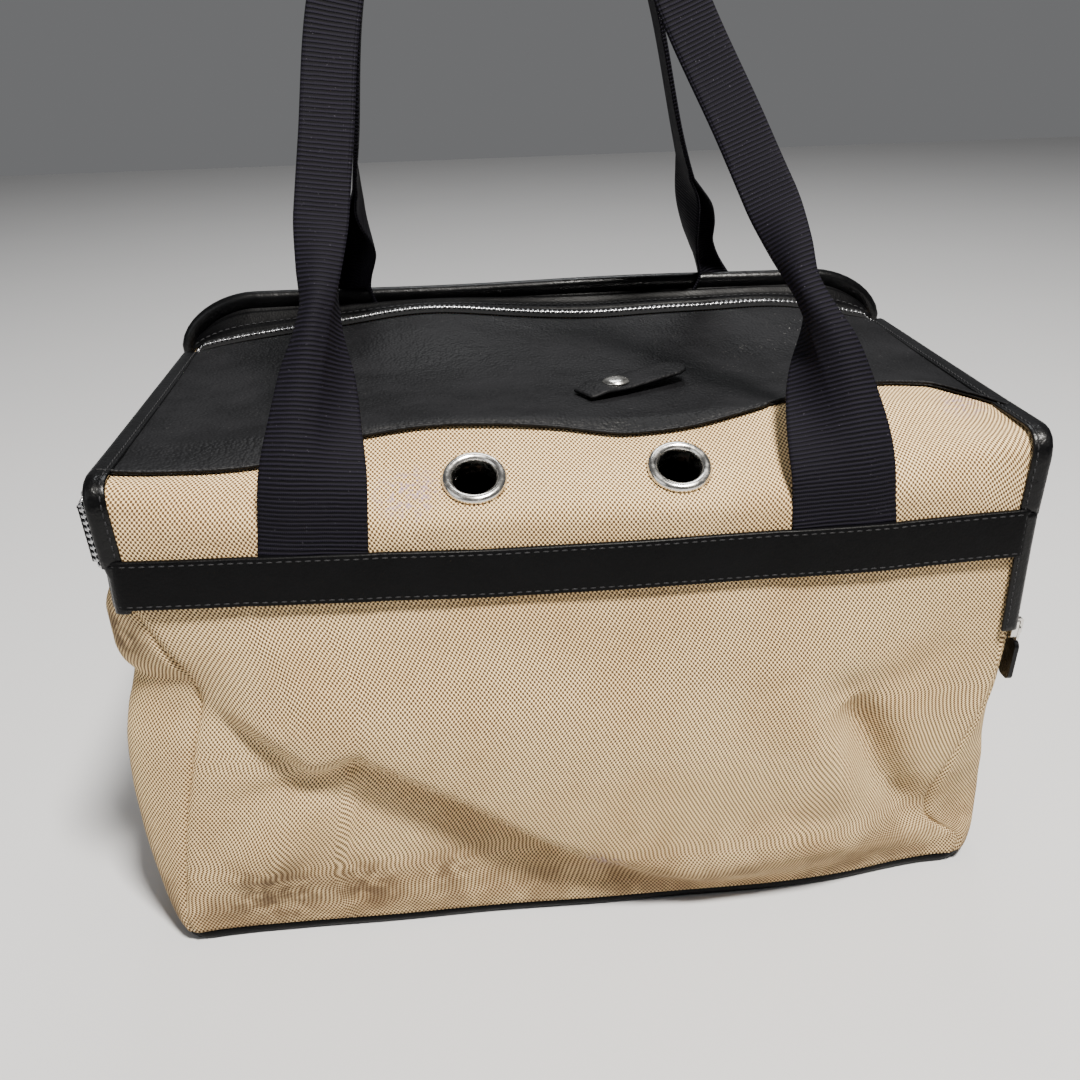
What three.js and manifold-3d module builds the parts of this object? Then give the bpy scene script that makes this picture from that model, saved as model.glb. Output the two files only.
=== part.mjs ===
// Pet carrier bag: a canvas and leather tote with a zipped lid and two webbing handles.
// Millimetres, +Z up, X to the bag's right seen from the front, front faces -Y.
// The origin is the centre of the base's underside.
import * as THREE from "three";
import { mergeVertices } from "three/addons/utils/BufferGeometryUtils.js";
import Module from "manifold-3d";

const wasm = await Module();
wasm.setup();

// ---- driving dimensions -------------------------------------------------
const GAP = 0.3; // clearance between two pieces that touch
const BASE_HALF = 195; // half width at the floor
const TOP_HALF = 209; // half width at the top of the bands
const DEPTH_HALF = 121; // outer faces of the front and back canvas
const BAND_TOP = 211;
const BAND_LOW = 187;
const END_TOP = 250; // top edge of the bag at its two ends
const LID_BACK = 264; // top of the lid's back edge at the middle
const RIM_TOP = 272; // top of the back panel at the middle
const CANVAS = 3; // panel thickness
const SHEET = 2.4; // lid sheet thickness
const CORNER = 12; // radius of the lid's front corner seen from the end
const BASE_THICK = 8;
const WALL_LOW = BASE_THICK + GAP; // lower edge of the walls and of the base board
const BOARD_THICK = 3;
const CUSHION_THICK = 20;
const BAND_THICK = 3.5;
const STRAP_WIDTH = 50;
const STRAP_THICK = 2;
const STRAP_FOLDED = 25; // width of the webbing folded in half
const STRAP_X = 120; // middle of each strap end
const EYELET_X = 43.5; // before the splay
const EYELET_HOLE = 10;
const EYELET_OUTER = 15;
const SEAM_Y = -72; // where the lid's canvas meets its leather
const SEAM_TOP = 253; // its height at the middle
const FRONT_BEND = 226; // where the canvas bends back at the middle
const ZIP_Y = 99; // parting line of the zip along the back of the lid
const TOOTH_ROW = 2.7; // width of one row of teeth
const TAPE_SHOWN = 3.4; // width of tape that shows beside the teeth
const SPLAY = (TOP_HALF / BASE_HALF - 1) / BAND_TOP; // growth of the width with height
const LID_LINING_THICK = 1;
const RIM_ROLL = 4; // radius of the rolled leather edge along the back
const TAIL_LOW = 158; // lower end of the zip's tail
const SLIDER_Z = 150;
const TAB_LONG = 62;
const TAB_WIDE = 19;
const TAB_THICK = 2;
const TAB_ROOT = [10, -42]; // middle of the snap tab's sewn end, in x and y
const TAB_RAISE = 3.2; // its underside over the lid's leather
const TAB_TURN = Math.PI * (27 / 180);
const SNAP_AT = 20; // the snap's place along its tab

// ---- materials ----------------------------------------------------------
const finish = (color, roughness, metalness) => () =>
  new THREE.MeshStandardMaterial({ color, roughness, metalness });
const canvas = finish(0xd6bd96, 0.9, 0);
const leather = finish(0x17171a, 0.55, 0);
const edging = finish(0x0c0c0e, 0.35, 0);
const webbing = finish(0x1e1c26, 0.85, 0);
const tape = finish(0x0b0b0c, 0.9, 0);
const teeth = finish(0xb9b9bd, 0.3, 1);
const nickel = finish(0xc9c7c2, 0.2, 1);
const lining = finish(0x3a2419, 0.9, 0);
const board = finish(0x4a4038, 0.9, 0);

const bag = new THREE.Group();

// ---- geometry helpers ---------------------------------------------------

/** Keeps only the positions of a geometry, with shared vertices merged. */
function bare(geometry) {
  const plain = geometry.index ? geometry.toNonIndexed() : geometry;
  const out = new THREE.BufferGeometry();
  out.setAttribute("position", plain.getAttribute("position"));
  return mergeVertices(out, 1e-3);
}

/** A closed geometry as a solid that can be joined and cut. */
function solid(geometry) {
  const g = bare(geometry);
  const mesh = new wasm.Mesh({
    numProp: 3,
    vertProperties: g.attributes.position.array,
    triVerts: new Uint32Array(g.index.array),
  });
  return new wasm.Manifold(mesh);
}

/** The geometry of a solid. */
function shell(made) {
  const mesh = made.getMesh();
  const out = new THREE.BufferGeometry();
  out.setAttribute("position", new THREE.BufferAttribute(mesh.vertProperties, 3));
  out.setIndex(new THREE.BufferAttribute(mesh.triVerts, 1));
  return out;
}

/** One geometry less a list of others. */
function cut(geometry, ...tools) {
  return shell(tools.reduce((left, tool) => left.subtract(solid(tool)), solid(geometry)));
}

/** Several geometries joined into one. */
function join(first, ...others) {
  return shell(others.reduce((sum, other) => sum.add(solid(other)), solid(first)));
}

/** Widens a geometry with its height, as the bag's ends lean outwards. */
function splay(geometry) {
  const p = geometry.attributes.position;
  for (let i = 0; i < p.count; i++) {
    p.setX(i, p.getX(i) * (1 + SPLAY * p.getZ(i)));
  }
  return geometry;
}

const mix = (a, b, t) => a + (b - a) * t;
const flat = (depth, curveSegments = 5) => ({ depth, curveSegments, bevelEnabled: false });
const turned = (x, y, z) => new THREE.Matrix4().makeBasis(x, y, z);
const AX = new THREE.Vector3(1, 0, 0);
const AY = new THREE.Vector3(0, 1, 0);
const AZ = new THREE.Vector3(0, 0, 1);

/** A shape drawn in Y and Z, thickened from x0 to x1. */
function slabX(shape, x0, x1) {
  const g = new THREE.ExtrudeGeometry(shape, flat(x1 - x0));
  return g.applyMatrix4(turned(AY, AZ, AX)).translate(x0, 0, 0);
}

/** A shape drawn in X and Z, thickened from y0 to y1. */
function slabY(shape, y0, y1) {
  const g = new THREE.ExtrudeGeometry(shape, flat(y1 - y0));
  return g.applyMatrix4(turned(AX, AZ, AY.clone().negate())).translate(0, y1, 0);
}

/** A shape drawn in X and Y, thickened from z0 to z1. */
function slabZ(shape, z0, z1) {
  return new THREE.ExtrudeGeometry(shape, flat(z1 - z0)).translate(0, 0, z0);
}

/** A box between two corners. */
function block(x0, y0, z0, x1, y1, z1) {
  const g = new THREE.BoxGeometry(x1 - x0, y1 - y0, z1 - z0);
  return g.translate((x0 + x1) / 2, (y0 + y1) / 2, (z0 + z1) / 2);
}

/** A closed outline through a list of [a, b] points. */
function outline(points) {
  return new THREE.Shape(points.map(([a, b]) => new THREE.Vector2(a, b)));
}

/** A rectangle with rounded corners, centred on cx, cy. */
function rounded(halfW, halfH, radius, cx = 0, cy = 0) {
  const s = new THREE.Shape();
  s.moveTo(cx - halfW + radius, cy - halfH);
  s.lineTo(cx + halfW - radius, cy - halfH);
  s.absarc(cx + halfW - radius, cy - halfH + radius, radius, -Math.PI / 2, 0);
  s.absarc(cx + halfW - radius, cy + halfH - radius, radius, 0, Math.PI / 2);
  s.absarc(cx - halfW + radius, cy + halfH - radius, radius, Math.PI / 2, Math.PI);
  s.absarc(cx - halfW + radius, cy - halfH + radius, radius, Math.PI, 1.5 * Math.PI);
  return s;
}

/** A closed solid between two grids of points: outer is its face, inner its back. */
function between(outer, inner) {
  const rows = outer.length;
  const cols = outer[0].length;
  const points = [...outer.flat(), ...inner.flat()];
  const at = (side, r, c) => side * rows * cols + r * cols + c;
  const index = [];
  const quad = (a, b, c, d) => index.push(a, b, c, a, c, d);
  for (let r = 0; r < rows - 1; r++) {
    for (let c = 0; c < cols - 1; c++) {
      quad(at(0, r, c), at(0, r, c + 1), at(0, r + 1, c + 1), at(0, r + 1, c));
      quad(at(1, r, c), at(1, r + 1, c), at(1, r + 1, c + 1), at(1, r, c + 1));
    }
  }
  for (let c = 0; c < cols - 1; c++) {
    quad(at(0, 0, c), at(1, 0, c), at(1, 0, c + 1), at(0, 0, c + 1));
    const last = rows - 1;
    quad(at(0, last, c), at(0, last, c + 1), at(1, last, c + 1), at(1, last, c));
  }
  for (let r = 0; r < rows - 1; r++) {
    quad(at(0, r, 0), at(0, r + 1, 0), at(1, r + 1, 0), at(1, r, 0));
    const last = cols - 1;
    quad(at(0, r, last), at(1, r, last), at(1, r + 1, last), at(0, r + 1, last));
  }
  const g = new THREE.BufferGeometry();
  g.setAttribute("position", new THREE.Float32BufferAttribute(points.flat(), 3));
  g.setIndex(index);
  return g;
}

/** Adds one named piece to the bag. */
function place(name, geometry, material, parent = bag) {
  geometry.computeVertexNormals();
  const mesh = new THREE.Mesh(geometry, material());
  mesh.name = name;
  parent.add(mesh);
  return mesh;
}

// ---- the lid's surface --------------------------------------------------
const LID_HALF = BASE_HALF - 0.1; // before the splay
const LID_LOW = BAND_TOP + 2 * GAP;

/** How far a place across the bag is from its boxy ends: 0 at an end, 1 at the middle. */
function middle(x) {
  return 1 - Math.abs(x / BASE_HALF) ** 4;
}

/** A line from start to finish by way of a bend that is rounded over a reach on each side. */
function bentLine([sy, sz], [by, bz], [fy, fz], reach) {
  const first = Math.hypot(by - sy, bz - sz);
  const second = Math.hypot(fy - by, fz - bz);
  const into = [mix(by, sy, reach / first), mix(bz, sz, reach / first)];
  const out = [mix(by, fy, reach / second), mix(bz, fz, reach / second)];
  const curved = 1.85 * reach;
  const whole = first + second - 2 * reach + curved;
  return (t) => {
    const run = t * whole;
    if (run < first - reach) {
      const k = run / (first - reach);
      return [mix(sy, into[0], k), mix(sz, into[1], k)];
    }
    if (run < first - reach + curved) {
      const k = (run - first + reach) / curved;
      const bend = (i, corner) => mix(mix(into[i], corner, k), mix(corner, out[i], k), k);
      return [bend(0, by), bend(1, bz)];
    }
    const k = (run - first + reach - curved) / (second - reach);
    return [mix(out[0], fy, k), mix(out[1], fz, k)];
  };
}

const LID_FOOT = [-DEPTH_HALF, LID_LOW];
const frontAtEnd = bentLine(LID_FOOT, [-DEPTH_HALF, END_TOP], [SEAM_Y, END_TOP], CORNER);
const frontAtMiddle = bentLine(LID_FOOT, [-DEPTH_HALF, FRONT_BEND], [SEAM_Y, SEAM_TOP], 8);

/** Height of the lid's top, behind the canvas, and of the strip behind the zip. */
function topHeight(x, y) {
  const along = (y - SEAM_Y) / (ZIP_Y - SEAM_Y);
  const sag = along < 1 ? 3 * Math.sin(Math.PI * along) : 0;
  const atMiddle = mix(SEAM_TOP, LID_BACK, along) - sag;
  const atEnd = mix(END_TOP, END_TOP + 1.5, along);
  return mix(atEnd, atMiddle, middle(x));
}

/** The lid's profile at x: u from 0 to 1 is the canvas, from 1 to 2 the leather. */
function lidProfile(x, u, backY) {
  if (u <= 1) {
    const [ye, ze] = frontAtEnd(u);
    const [ym, zm] = frontAtMiddle(u);
    return [mix(ye, ym, middle(x)), mix(ze, zm, middle(x))];
  }
  const y = mix(SEAM_Y, backY, u - 1);
  return [y, topHeight(x, y)];
}

/** A sheet of the lid from u0 to u1, its face sunk by depth, over the lid's width. */
function lidSheet(u0, u1, rows, cols, backY, sunk, thick) {
  const step = 1e-3;
  const row = (u, depth) =>
    Array.from({ length: cols + 1 }, (_, c) => {
      const x = mix(-LID_HALF, LID_HALF, c / cols);
      const [y, z] = lidProfile(x, u, backY);
      const before = lidProfile(x, Math.max(u - step, 0), backY);
      const after = lidProfile(x, Math.min(u + step, 2), backY);
      const dy = after[0] - before[0];
      const dz = after[1] - before[1];
      const long = Math.hypot(dy, dz);
      return [x, y + (depth * dz) / long, z - (depth * dy) / long];
    });
  const us = Array.from({ length: rows + 1 }, (_, r) => mix(u0, u1, r / rows));
  const outer = us.map((u) => row(u, sunk));
  const inner = us.map((u) => row(u, sunk + thick));
  return between(outer, inner);
}

/** A strip on top of the bag between two places in y, following the lid's height. */
function topStrip(y0, y1, halfWidth, thick, raise = 0, height = topHeight) {
  const cols = 16;
  const row = (y, depth) =>
    Array.from({ length: cols + 1 }, (_, c) => {
      const x = mix(-halfWidth, halfWidth, c / cols);
      return [x, y, height(x, y) + raise - depth];
    });
  return between([row(y0, 0), row(y1, 0)], [row(y0, thick), row(y1, thick)]);
}

/** A path round the lid's front corner, a distance inside the bag's outline seen from the end. */
function endPath(inset, low, backY) {
  const r = Math.max(CORNER - inset, 1);
  const cy = -DEPTH_HALF + inset + r;
  const cz = END_TOP - inset - r;
  const steps = 5;
  const path = [[-DEPTH_HALF + inset, low]];
  for (let i = 0; i <= steps; i++) {
    const a = Math.PI - (i / steps) * (Math.PI / 2);
    path.push([cy + r * Math.cos(a), cz + r * Math.sin(a)]);
  }
  path.push([backY, END_TOP - inset]);
  return path;
}

/** A strip on an end face that follows the corner, between two insets. */
function endStrip(side, near, far, low, backY, proud) {
  const shape = outline([...endPath(near, low, backY), ...endPath(far, low, backY).reverse()]);
  const x = BASE_HALF + GAP;
  return side > 0 ? slabX(shape, x, x + proud) : slabX(shape, -x - proud, -x);
}

// ---- base ---------------------------------------------------------------
place("base_panel", splay(slabZ(rounded(BASE_HALF, DEPTH_HALF - 1, 14), 0, BASE_THICK)), leather);
const boardTop = WALL_LOW + BOARD_THICK;
const innerHalf = BASE_HALF - CANVAS - 2 * GAP;
const innerDepth = DEPTH_HALF - CANVAS - 2 * GAP;
const boardShape = rounded(innerHalf - 2, innerDepth - 2, 8);
place("base_board", slabZ(boardShape, WALL_LOW, boardTop), board);

const CUSHION_BEVEL = 6;
const CUSHION_INSET = 6; // from the walls to the cushion's side
const shrink = CUSHION_INSET + CUSHION_BEVEL;
const cushionShape = rounded(innerHalf - shrink, innerDepth - shrink, 16);
const cushion = new THREE.ExtrudeGeometry(cushionShape, {
  depth: CUSHION_THICK - 2 * CUSHION_BEVEL,
  curveSegments: 4,
  bevelThickness: CUSHION_BEVEL,
  bevelSize: CUSHION_BEVEL,
  bevelSegments: 2,
});
const LINING_THICK = 1.5;
const cushionLow = boardTop + LINING_THICK + 2 * GAP;
place("base_cushion", cushion.translate(0, 0, cushionLow + CUSHION_BEVEL), lining);

// ---- canvas walls -------------------------------------------------------
const frontShape = outline([
  [-BASE_HALF, WALL_LOW],
  [BASE_HALF, WALL_LOW],
  [BASE_HALF, BAND_TOP],
  [-BASE_HALF, BAND_TOP],
]);
place("front_panel", splay(slabY(frontShape, -DEPTH_HALF, -DEPTH_HALF + CANVAS)), canvas);

const RIM_CORNER = 22; // radius of the back panel's top corners
const RIM_END = 248; // where the rim meets the ends

/** Height of the back panel's top edge at x. */
function rimHeight(x) {
  const over = Math.max(0, Math.abs(x) - (BASE_HALF - RIM_CORNER)) / RIM_CORNER;
  return mix(RIM_TOP, RIM_END, 1 - Math.sqrt(Math.max(0, 1 - over ** 2)));
}

const RIM_STEPS = 6;
const rimEdge = [];
for (let i = 0; i <= RIM_STEPS; i++) {
  const over = Math.sin((i / RIM_STEPS) * (Math.PI / 2));
  const x = BASE_HALF - RIM_CORNER + RIM_CORNER * over;
  rimEdge.push([x, rimHeight(x)]);
}
const mirrored = [...rimEdge].reverse().map(([x, z]) => [-x, z]);
const backShape = outline([
  [-BASE_HALF, WALL_LOW],
  [BASE_HALF, WALL_LOW],
  ...[...rimEdge].reverse(),
  ...[...mirrored].reverse(),
]);
place("back_panel", splay(slabY(backShape, DEPTH_HALF - CANVAS, DEPTH_HALF)), canvas);

// Insets of the strips round an end, from the lid's outline inwards.
const EDGE_WIDTH = 3.6;
const END_TAPE_WIDTH = 2.7;
const LID_TAPE = EDGE_WIDTH + GAP;
const LID_TEETH = LID_TAPE + END_TAPE_WIDTH + GAP;
const ROOT_TEETH = LID_TEETH + TOOTH_ROW + GAP;
const ROOT_TAPE = ROOT_TEETH + TOOTH_ROW + GAP;
const wallFront = -DEPTH_HALF + CANVAS + GAP;
const wallBack = DEPTH_HALF - CANVAS - GAP;
const STRIP_Y = ZIP_Y + TOOTH_ROW + TAPE_SHOWN + 3 * GAP; // front edge of the strip behind the zip
const stepTop = END_TOP - SHEET - 2; // the end panel's top under the strip
const endShape = outline([
  [wallFront, WALL_LOW],
  [wallFront, BAND_TOP - GAP],
  ...endPath(ROOT_TEETH, BAND_TOP - GAP, STRIP_Y),
  [STRIP_Y, stepTop],
  [wallBack, stepTop],
  [wallBack, WALL_LOW],
]);
for (const [name, side] of [["left", -1], ["right", 1]]) {
  const x = [side * BASE_HALF, side * (BASE_HALF - CANVAS)].sort((a, b) => a - b);
  place(`end_panel_${name}`, splay(slabX(endShape, ...x)), canvas);
}

// ---- lining: a thin open box inside the walls ---------------------------
const liningLow = boardTop + GAP;
const liningTop = BAND_TOP - 4;
const liningOuter = block(-innerHalf, -innerDepth, liningLow, innerHalf, innerDepth, liningTop);
const liningInner = block(
  -innerHalf + LINING_THICK,
  -innerDepth + LINING_THICK,
  liningLow + LINING_THICK,
  innerHalf - LINING_THICK,
  innerDepth - LINING_THICK,
  BAND_TOP,
);
place("lining", splay(cut(liningOuter, liningInner)), lining);

// ---- bands, and the webbing ends sewn under them ------------------------
const PATCH_LOW = BAND_LOW + 2;
const PATCH_THICK = 1.6; // the webbing is pressed flat under the stitches
for (const [name, face] of [["front", -1], ["back", 1]]) {
  const near = face * (DEPTH_HALF + GAP);
  const far = face * (DEPTH_HALF + GAP + BAND_THICK);
  const [y0, y1] = [near, far].sort((a, b) => a - b);
  const bandShape = outline([
    [-BASE_HALF, BAND_LOW],
    [BASE_HALF, BAND_LOW],
    [BASE_HALF, BAND_TOP],
    [-BASE_HALF, BAND_TOP],
  ]);
  const half = STRAP_WIDTH / 2;
  const [p0, p1] = [near, near + face * PATCH_THICK].sort((a, b) => a - b);
  const pocket = [p0 - (face > 0 ? 1 : GAP), p1 + (face > 0 ? GAP : 1)];
  const pockets = [-STRAP_X, STRAP_X].map((x) =>
    block(x - half - GAP, pocket[0], PATCH_LOW - GAP, x + half + GAP, pocket[1], BAND_TOP + 1),
  );
  place(`band_${name}`, cut(splay(slabY(bandShape, y0, y1)), ...pockets), leather);
  for (const [end, x] of [["left", -STRAP_X], ["right", STRAP_X]]) {
    const patch = block(x - half, p0, PATCH_LOW, x + half, p1, BAND_TOP - GAP);
    place(`strap_end_${name}_${end}`, patch, webbing);
  }
}

// ---- back rim -----------------------------------------------------------
const stripBack = DEPTH_HALF - CANVAS - GAP;
const rimStripHeight = (x, y) =>
  mix(topHeight(x, STRIP_Y), rimHeight(x) - 2, (y - STRIP_Y) / (stripBack - STRIP_Y));
place(
  "back_rim_strip",
  splay(topStrip(STRIP_Y, stripBack, BASE_HALF - 4, SHEET, 0, rimStripHeight)),
  leather,
);
const rollOut = RIM_ROLL + 2 * GAP;
const rollRight = [];
for (let i = 0; i <= RIM_STEPS; i++) {
  const a = (i / RIM_STEPS) * (Math.PI / 2);
  const x = BASE_HALF - RIM_CORNER + (RIM_CORNER + rollOut) * Math.sin(a);
  const z = RIM_END + (RIM_TOP - RIM_END + rollOut) * Math.cos(a);
  rollRight.push(new THREE.Vector3(x, DEPTH_HALF - 1, z));
}
const rollLeft = rollRight.map((p) => new THREE.Vector3(-p.x, p.y, p.z)).reverse();
const rollPoints = [...rollLeft, ...rollRight];
const rollSection = new THREE.Shape().absarc(0, 0, RIM_ROLL, 0, 2 * Math.PI);
const roll = new THREE.ExtrudeGeometry(rollSection, {
  steps: 44,
  curveSegments: 4,
  extrudePath: new THREE.CatmullRomCurve3(rollPoints, false, "centripetal"),
});
place("back_rim_roll", splay(roll), edging);

// ---- lid ----------------------------------------------------------------
const lidBackY = ZIP_Y - TOOTH_ROW - TAPE_SHOWN - 3 * GAP;
const SEAM_GAP = 0.02; // of the canvas profile, left free under the seam
const lidCanvas = lidSheet(0, 1 - SEAM_GAP, 14, 24, lidBackY, 0, SHEET);
const lidLining = lidSheet(0, 2, 28, 24, lidBackY, SHEET + 3 * GAP, LID_LINING_THICK);
const EYELET_U = 0.5; // place of the eyelets up the lid's canvas
const eyeletFrames = [-EYELET_X, EYELET_X].map((x) => {
  const here = lidProfile(x, EYELET_U, lidBackY);
  const next = lidProfile(x, EYELET_U + 0.01, lidBackY);
  const tilt = Math.atan2(next[1] - here[1], next[0] - here[0]);
  return { x, y: here[0], z: here[1], tilt };
});

/** Turns a piece made on the Z axis to stand on the canvas at an eyelet. */
function onEyelet(geometry, { x, y, z, tilt }) {
  return geometry.rotateX(tilt).translate(x, y, z);
}

/** A round piece from a list of [radius, height] points, closed on itself. */
function ring(profile, segments = 32) {
  const points = [...profile, profile[0]].map(([r, h]) => new THREE.Vector2(r, h));
  return new THREE.LatheGeometry(points, segments).rotateX(Math.PI / 2);
}

const BARREL = EYELET_HOLE + 2;
const CUT_LENGTH = 40;
const holeCutters = eyeletFrames.map((frame) => {
  const cutter = new THREE.CylinderGeometry(BARREL + GAP, BARREL + GAP, CUT_LENGTH, 24);
  return onEyelet(cutter.rotateX(Math.PI / 2), frame);
});
place("lid_canvas", splay(cut(lidCanvas, ...holeCutters)), canvas);
place("lid_leather", splay(lidSheet(1 + SEAM_GAP / 4, 2, 12, 20, lidBackY, 0, SHEET)), leather);
place("lid_lining", splay(cut(lidLining, ...holeCutters)), lining);

const EYELET_DEEP = 7.2; // how far the barrel reaches behind the canvas's face
const eyeletProfile = [
  [EYELET_HOLE, -EYELET_DEEP],
  [BARREL, -EYELET_DEEP],
  [BARREL, 0.4],
  [EYELET_OUTER, 0.4],
  [EYELET_OUTER - 0.6, 1.8],
  [12.6, 3.2],
  [EYELET_HOLE + 0.8, 2.6],
  [EYELET_HOLE, 1.2],
];
const washerProfile = [
  [BARREL + GAP, -7],
  [EYELET_OUTER, -7],
  [EYELET_OUTER, -6.2],
  [BARREL + GAP, -6.2],
];
eyeletFrames.forEach((frame, i) => {
  const side = i ? "right" : "left";
  const splayed = { ...frame, x: frame.x * (1 + SPLAY * frame.z) };
  place(`eyelet_${side}`, onEyelet(ring(eyeletProfile), splayed), nickel);
  place(`eyelet_washer_${side}`, onEyelet(ring(washerProfile), splayed), nickel);
});

// ---- zip ----------------------------------------------------------------
const TEETH_PROUD = 3;
const TAPE_PROUD = 2;
const TEETH_RAISE = 0.8; // the teeth's top over the lid along the back
const BODY_TAPE_WIDTH = 4.7;
const zipHalf = BASE_HALF - 6;
const lidEdge = [0, EDGE_WIDTH];
const lidTape = [LID_TAPE, LID_TAPE + END_TAPE_WIDTH];
const lidTeeth = [LID_TEETH, LID_TEETH + TOOTH_ROW];
const bodyTeeth = [ROOT_TEETH, ROOT_TEETH + TOOTH_ROW];
const bodyTape = [ROOT_TAPE, ROOT_TAPE + BODY_TAPE_WIDTH];
for (const [name, side] of [["left", -1], ["right", 1]]) {
  const strip = ([near, far], low, backY, proud) =>
    splay(endStrip(side, near, far, low, backY, proud));
  place(`lid_edge_${name}`, strip(lidEdge, LID_LOW, lidBackY, TEETH_PROUD), edging);
  place(`zip_tape_lid_${name}`, strip(lidTape, LID_LOW, lidBackY, TAPE_PROUD), tape);
  place(`zip_teeth_lid_${name}`, strip(lidTeeth, LID_LOW, ZIP_Y - GAP, TEETH_PROUD), teeth);
  const bodyLow = BAND_TOP - GAP;
  place(`zip_teeth_body_${name}`, strip(bodyTeeth, bodyLow, ZIP_Y, TEETH_PROUD), teeth);
  place(`zip_tape_body_${name}`, strip(bodyTape, bodyLow, wallBack, TAPE_PROUD), tape);
}
const backStrip = (y0, width, thick, raise) =>
  splay(topStrip(y0, y0 + width, zipHalf, thick, raise));
const teethStrip = (y0) => backStrip(y0, TOOTH_ROW, TEETH_PROUD, TEETH_RAISE);
const tapeStrip = (y0) => backStrip(y0, TAPE_SHOWN, TAPE_PROUD, 0);
place("zip_tape_lid_back", tapeStrip(lidBackY + GAP), tape);
place("zip_teeth_lid_back", teethStrip(ZIP_Y - TOOTH_ROW - GAP / 2), teeth);
place("zip_teeth_body_back", teethStrip(ZIP_Y + GAP / 2), teeth);
place("zip_tape_body_back", tapeStrip(ZIP_Y + TOOTH_ROW + 1.5 * GAP), tape);

// The zip's start is covered at the left, and its tail runs down the right front corner.
const tabX = BASE_HALF + GAP;
const START_HALF = [7, 12];
const START_THICK = 3.5;
const startTab = rounded(...START_HALF, 2, -DEPTH_HALF + START_HALF[0] + 1, BAND_TOP - 13);
place("zip_start_tab", splay(slabX(startTab, -tabX - START_THICK, -tabX)), leather);
const TAIL_HALF = 4.5;
const TAIL_THICK = 2.6;
const tailTop = BAND_TOP - 1;
const tailY = -DEPTH_HALF + TAIL_HALF + 0.5;
const tail = rounded(TAIL_HALF, (tailTop - TAIL_LOW) / 2, 1.5, tailY, (TAIL_LOW + tailTop) / 2);
place("zip_tail", splay(slabX(tail, tabX, tabX + TAIL_THICK)), edging);

// Slider: a plate with a bridge, made upright and then set on the splayed corner.
const SLIDER_Y = -DEPTH_HALF + 5;
const SLIDER_CLEAR = 1; // between the slider's plate and the zip's tail
const LEAN = Math.atan(SPLAY * BASE_HALF);
const sliderX = (tabX + TAIL_THICK + SLIDER_CLEAR) * (1 + SPLAY * SLIDER_Z);
const slider = new THREE.Group();
slider.position.set(sliderX, SLIDER_Y, SLIDER_Z);
slider.rotation.y = LEAN;
bag.add(slider);
const PLATE = 3;
const plate = slabX(rounded(4.2, 5.5, 2), 0, PLATE);
const BRIDGE_HALF = 4.2; // half its length, along the track
const BRIDGE_RISE = 3.8; // its outer face over the plate
const BRIDGE_WIRE = 1.3; // thickness of its metal
const BRIDGE_WIDE = 1.2; // half its width
const bridgeMiddle = PLATE + BRIDGE_RISE - 2.2;
const bridgeOuter = slabY(rounded(2.2, BRIDGE_HALF, 1.4, bridgeMiddle), -BRIDGE_WIDE, BRIDGE_WIDE);
const holeTop = BRIDGE_HALF - BRIDGE_WIRE;
const bridgeInner = block(PLATE, -2, -holeTop, PLATE + BRIDGE_RISE - 1.4, 2, holeTop);
place("zip_slider", join(plate, cut(bridgeOuter, bridgeInner)), nickel, slider);

const RING_X = PLATE + 1.2;
const RING_HALF = [3.6, 4]; // half its width and half its height
const RING_WIRE = 1.2;
const ringLow = 0.8; // its upper end hangs in the bridge, so its middle is lower by this share
const ringZ = -ringLow * RING_HALF[1];
const ringShape = rounded(...RING_HALF, 1, 0, ringZ);
ringShape.holes.push(rounded(RING_HALF[0] - RING_WIRE, RING_HALF[1] - RING_WIRE, 0.4, 0, ringZ));
place("pull_ring", slabX(ringShape, RING_X - RING_WIRE / 2, RING_X + RING_WIRE / 2), nickel, slider);
const PULL_HALF = [5, 10.5]; // half the leather pull's width and half its length
const PULL_THICK = 2.2;
const pullTop = ringZ - RING_HALF[1] - GAP;
const pullShape = rounded(...PULL_HALF, 3, 0, pullTop - PULL_HALF[1]);
place("pull_tab", slabX(pullShape, RING_X - PULL_THICK / 2, RING_X + PULL_THICK / 2), leather, slider);

// ---- small tab with a snap on the lid -----------------------------------
const [rootX, rootY] = TAB_ROOT;
const tabGroup = new THREE.Group();
tabGroup.position.set(rootX, rootY, topHeight(rootX, rootY) + TAB_RAISE);
const tipX = rootX + TAB_LONG * Math.cos(TAB_TURN);
const tipY = rootY + TAB_LONG * Math.sin(TAB_TURN);
const tabRise = (topHeight(tipX, tipY) - topHeight(rootX, rootY)) / TAB_LONG;
tabGroup.rotation.set(0, -Math.atan(tabRise), TAB_TURN, "ZYX");
bag.add(tabGroup);
const tabShape = new THREE.Shape();
tabShape.moveTo(0, -TAB_WIDE / 2);
tabShape.lineTo(TAB_LONG - TAB_WIDE / 2, -TAB_WIDE / 2);
tabShape.absarc(TAB_LONG - TAB_WIDE / 2, 0, TAB_WIDE / 2, -Math.PI / 2, Math.PI / 2);
tabShape.lineTo(0, TAB_WIDE / 2);
place("snap_tab", slabZ(tabShape, 0, TAB_THICK), leather, tabGroup);
const capProfile = [
  [0, 0],
  [6.8, 0],
  [6.8, 0.8],
  [5.4, 2.2],
  [3, 3],
  [0, 3.3],
].map(([r, h]) => new THREE.Vector2(r, h));
const cap = new THREE.LatheGeometry(capProfile, 24).rotateX(Math.PI / 2);
place("snap_cap", cap.translate(SNAP_AT, 0, TAB_THICK + GAP), nickel, tabGroup);
const socketProfile = [
  [0, -1],
  [4.5, -1],
  [4.5, 0],
  [0, 0],
].map(([r, h]) => new THREE.Vector2(r, h));
const snapSocket = new THREE.LatheGeometry(socketProfile, 20).rotateX(Math.PI / 2);
place("snap_socket", snapSocket.translate(SNAP_AT, 0, -GAP), nickel, tabGroup);

// ---- handles ------------------------------------------------------------

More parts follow.
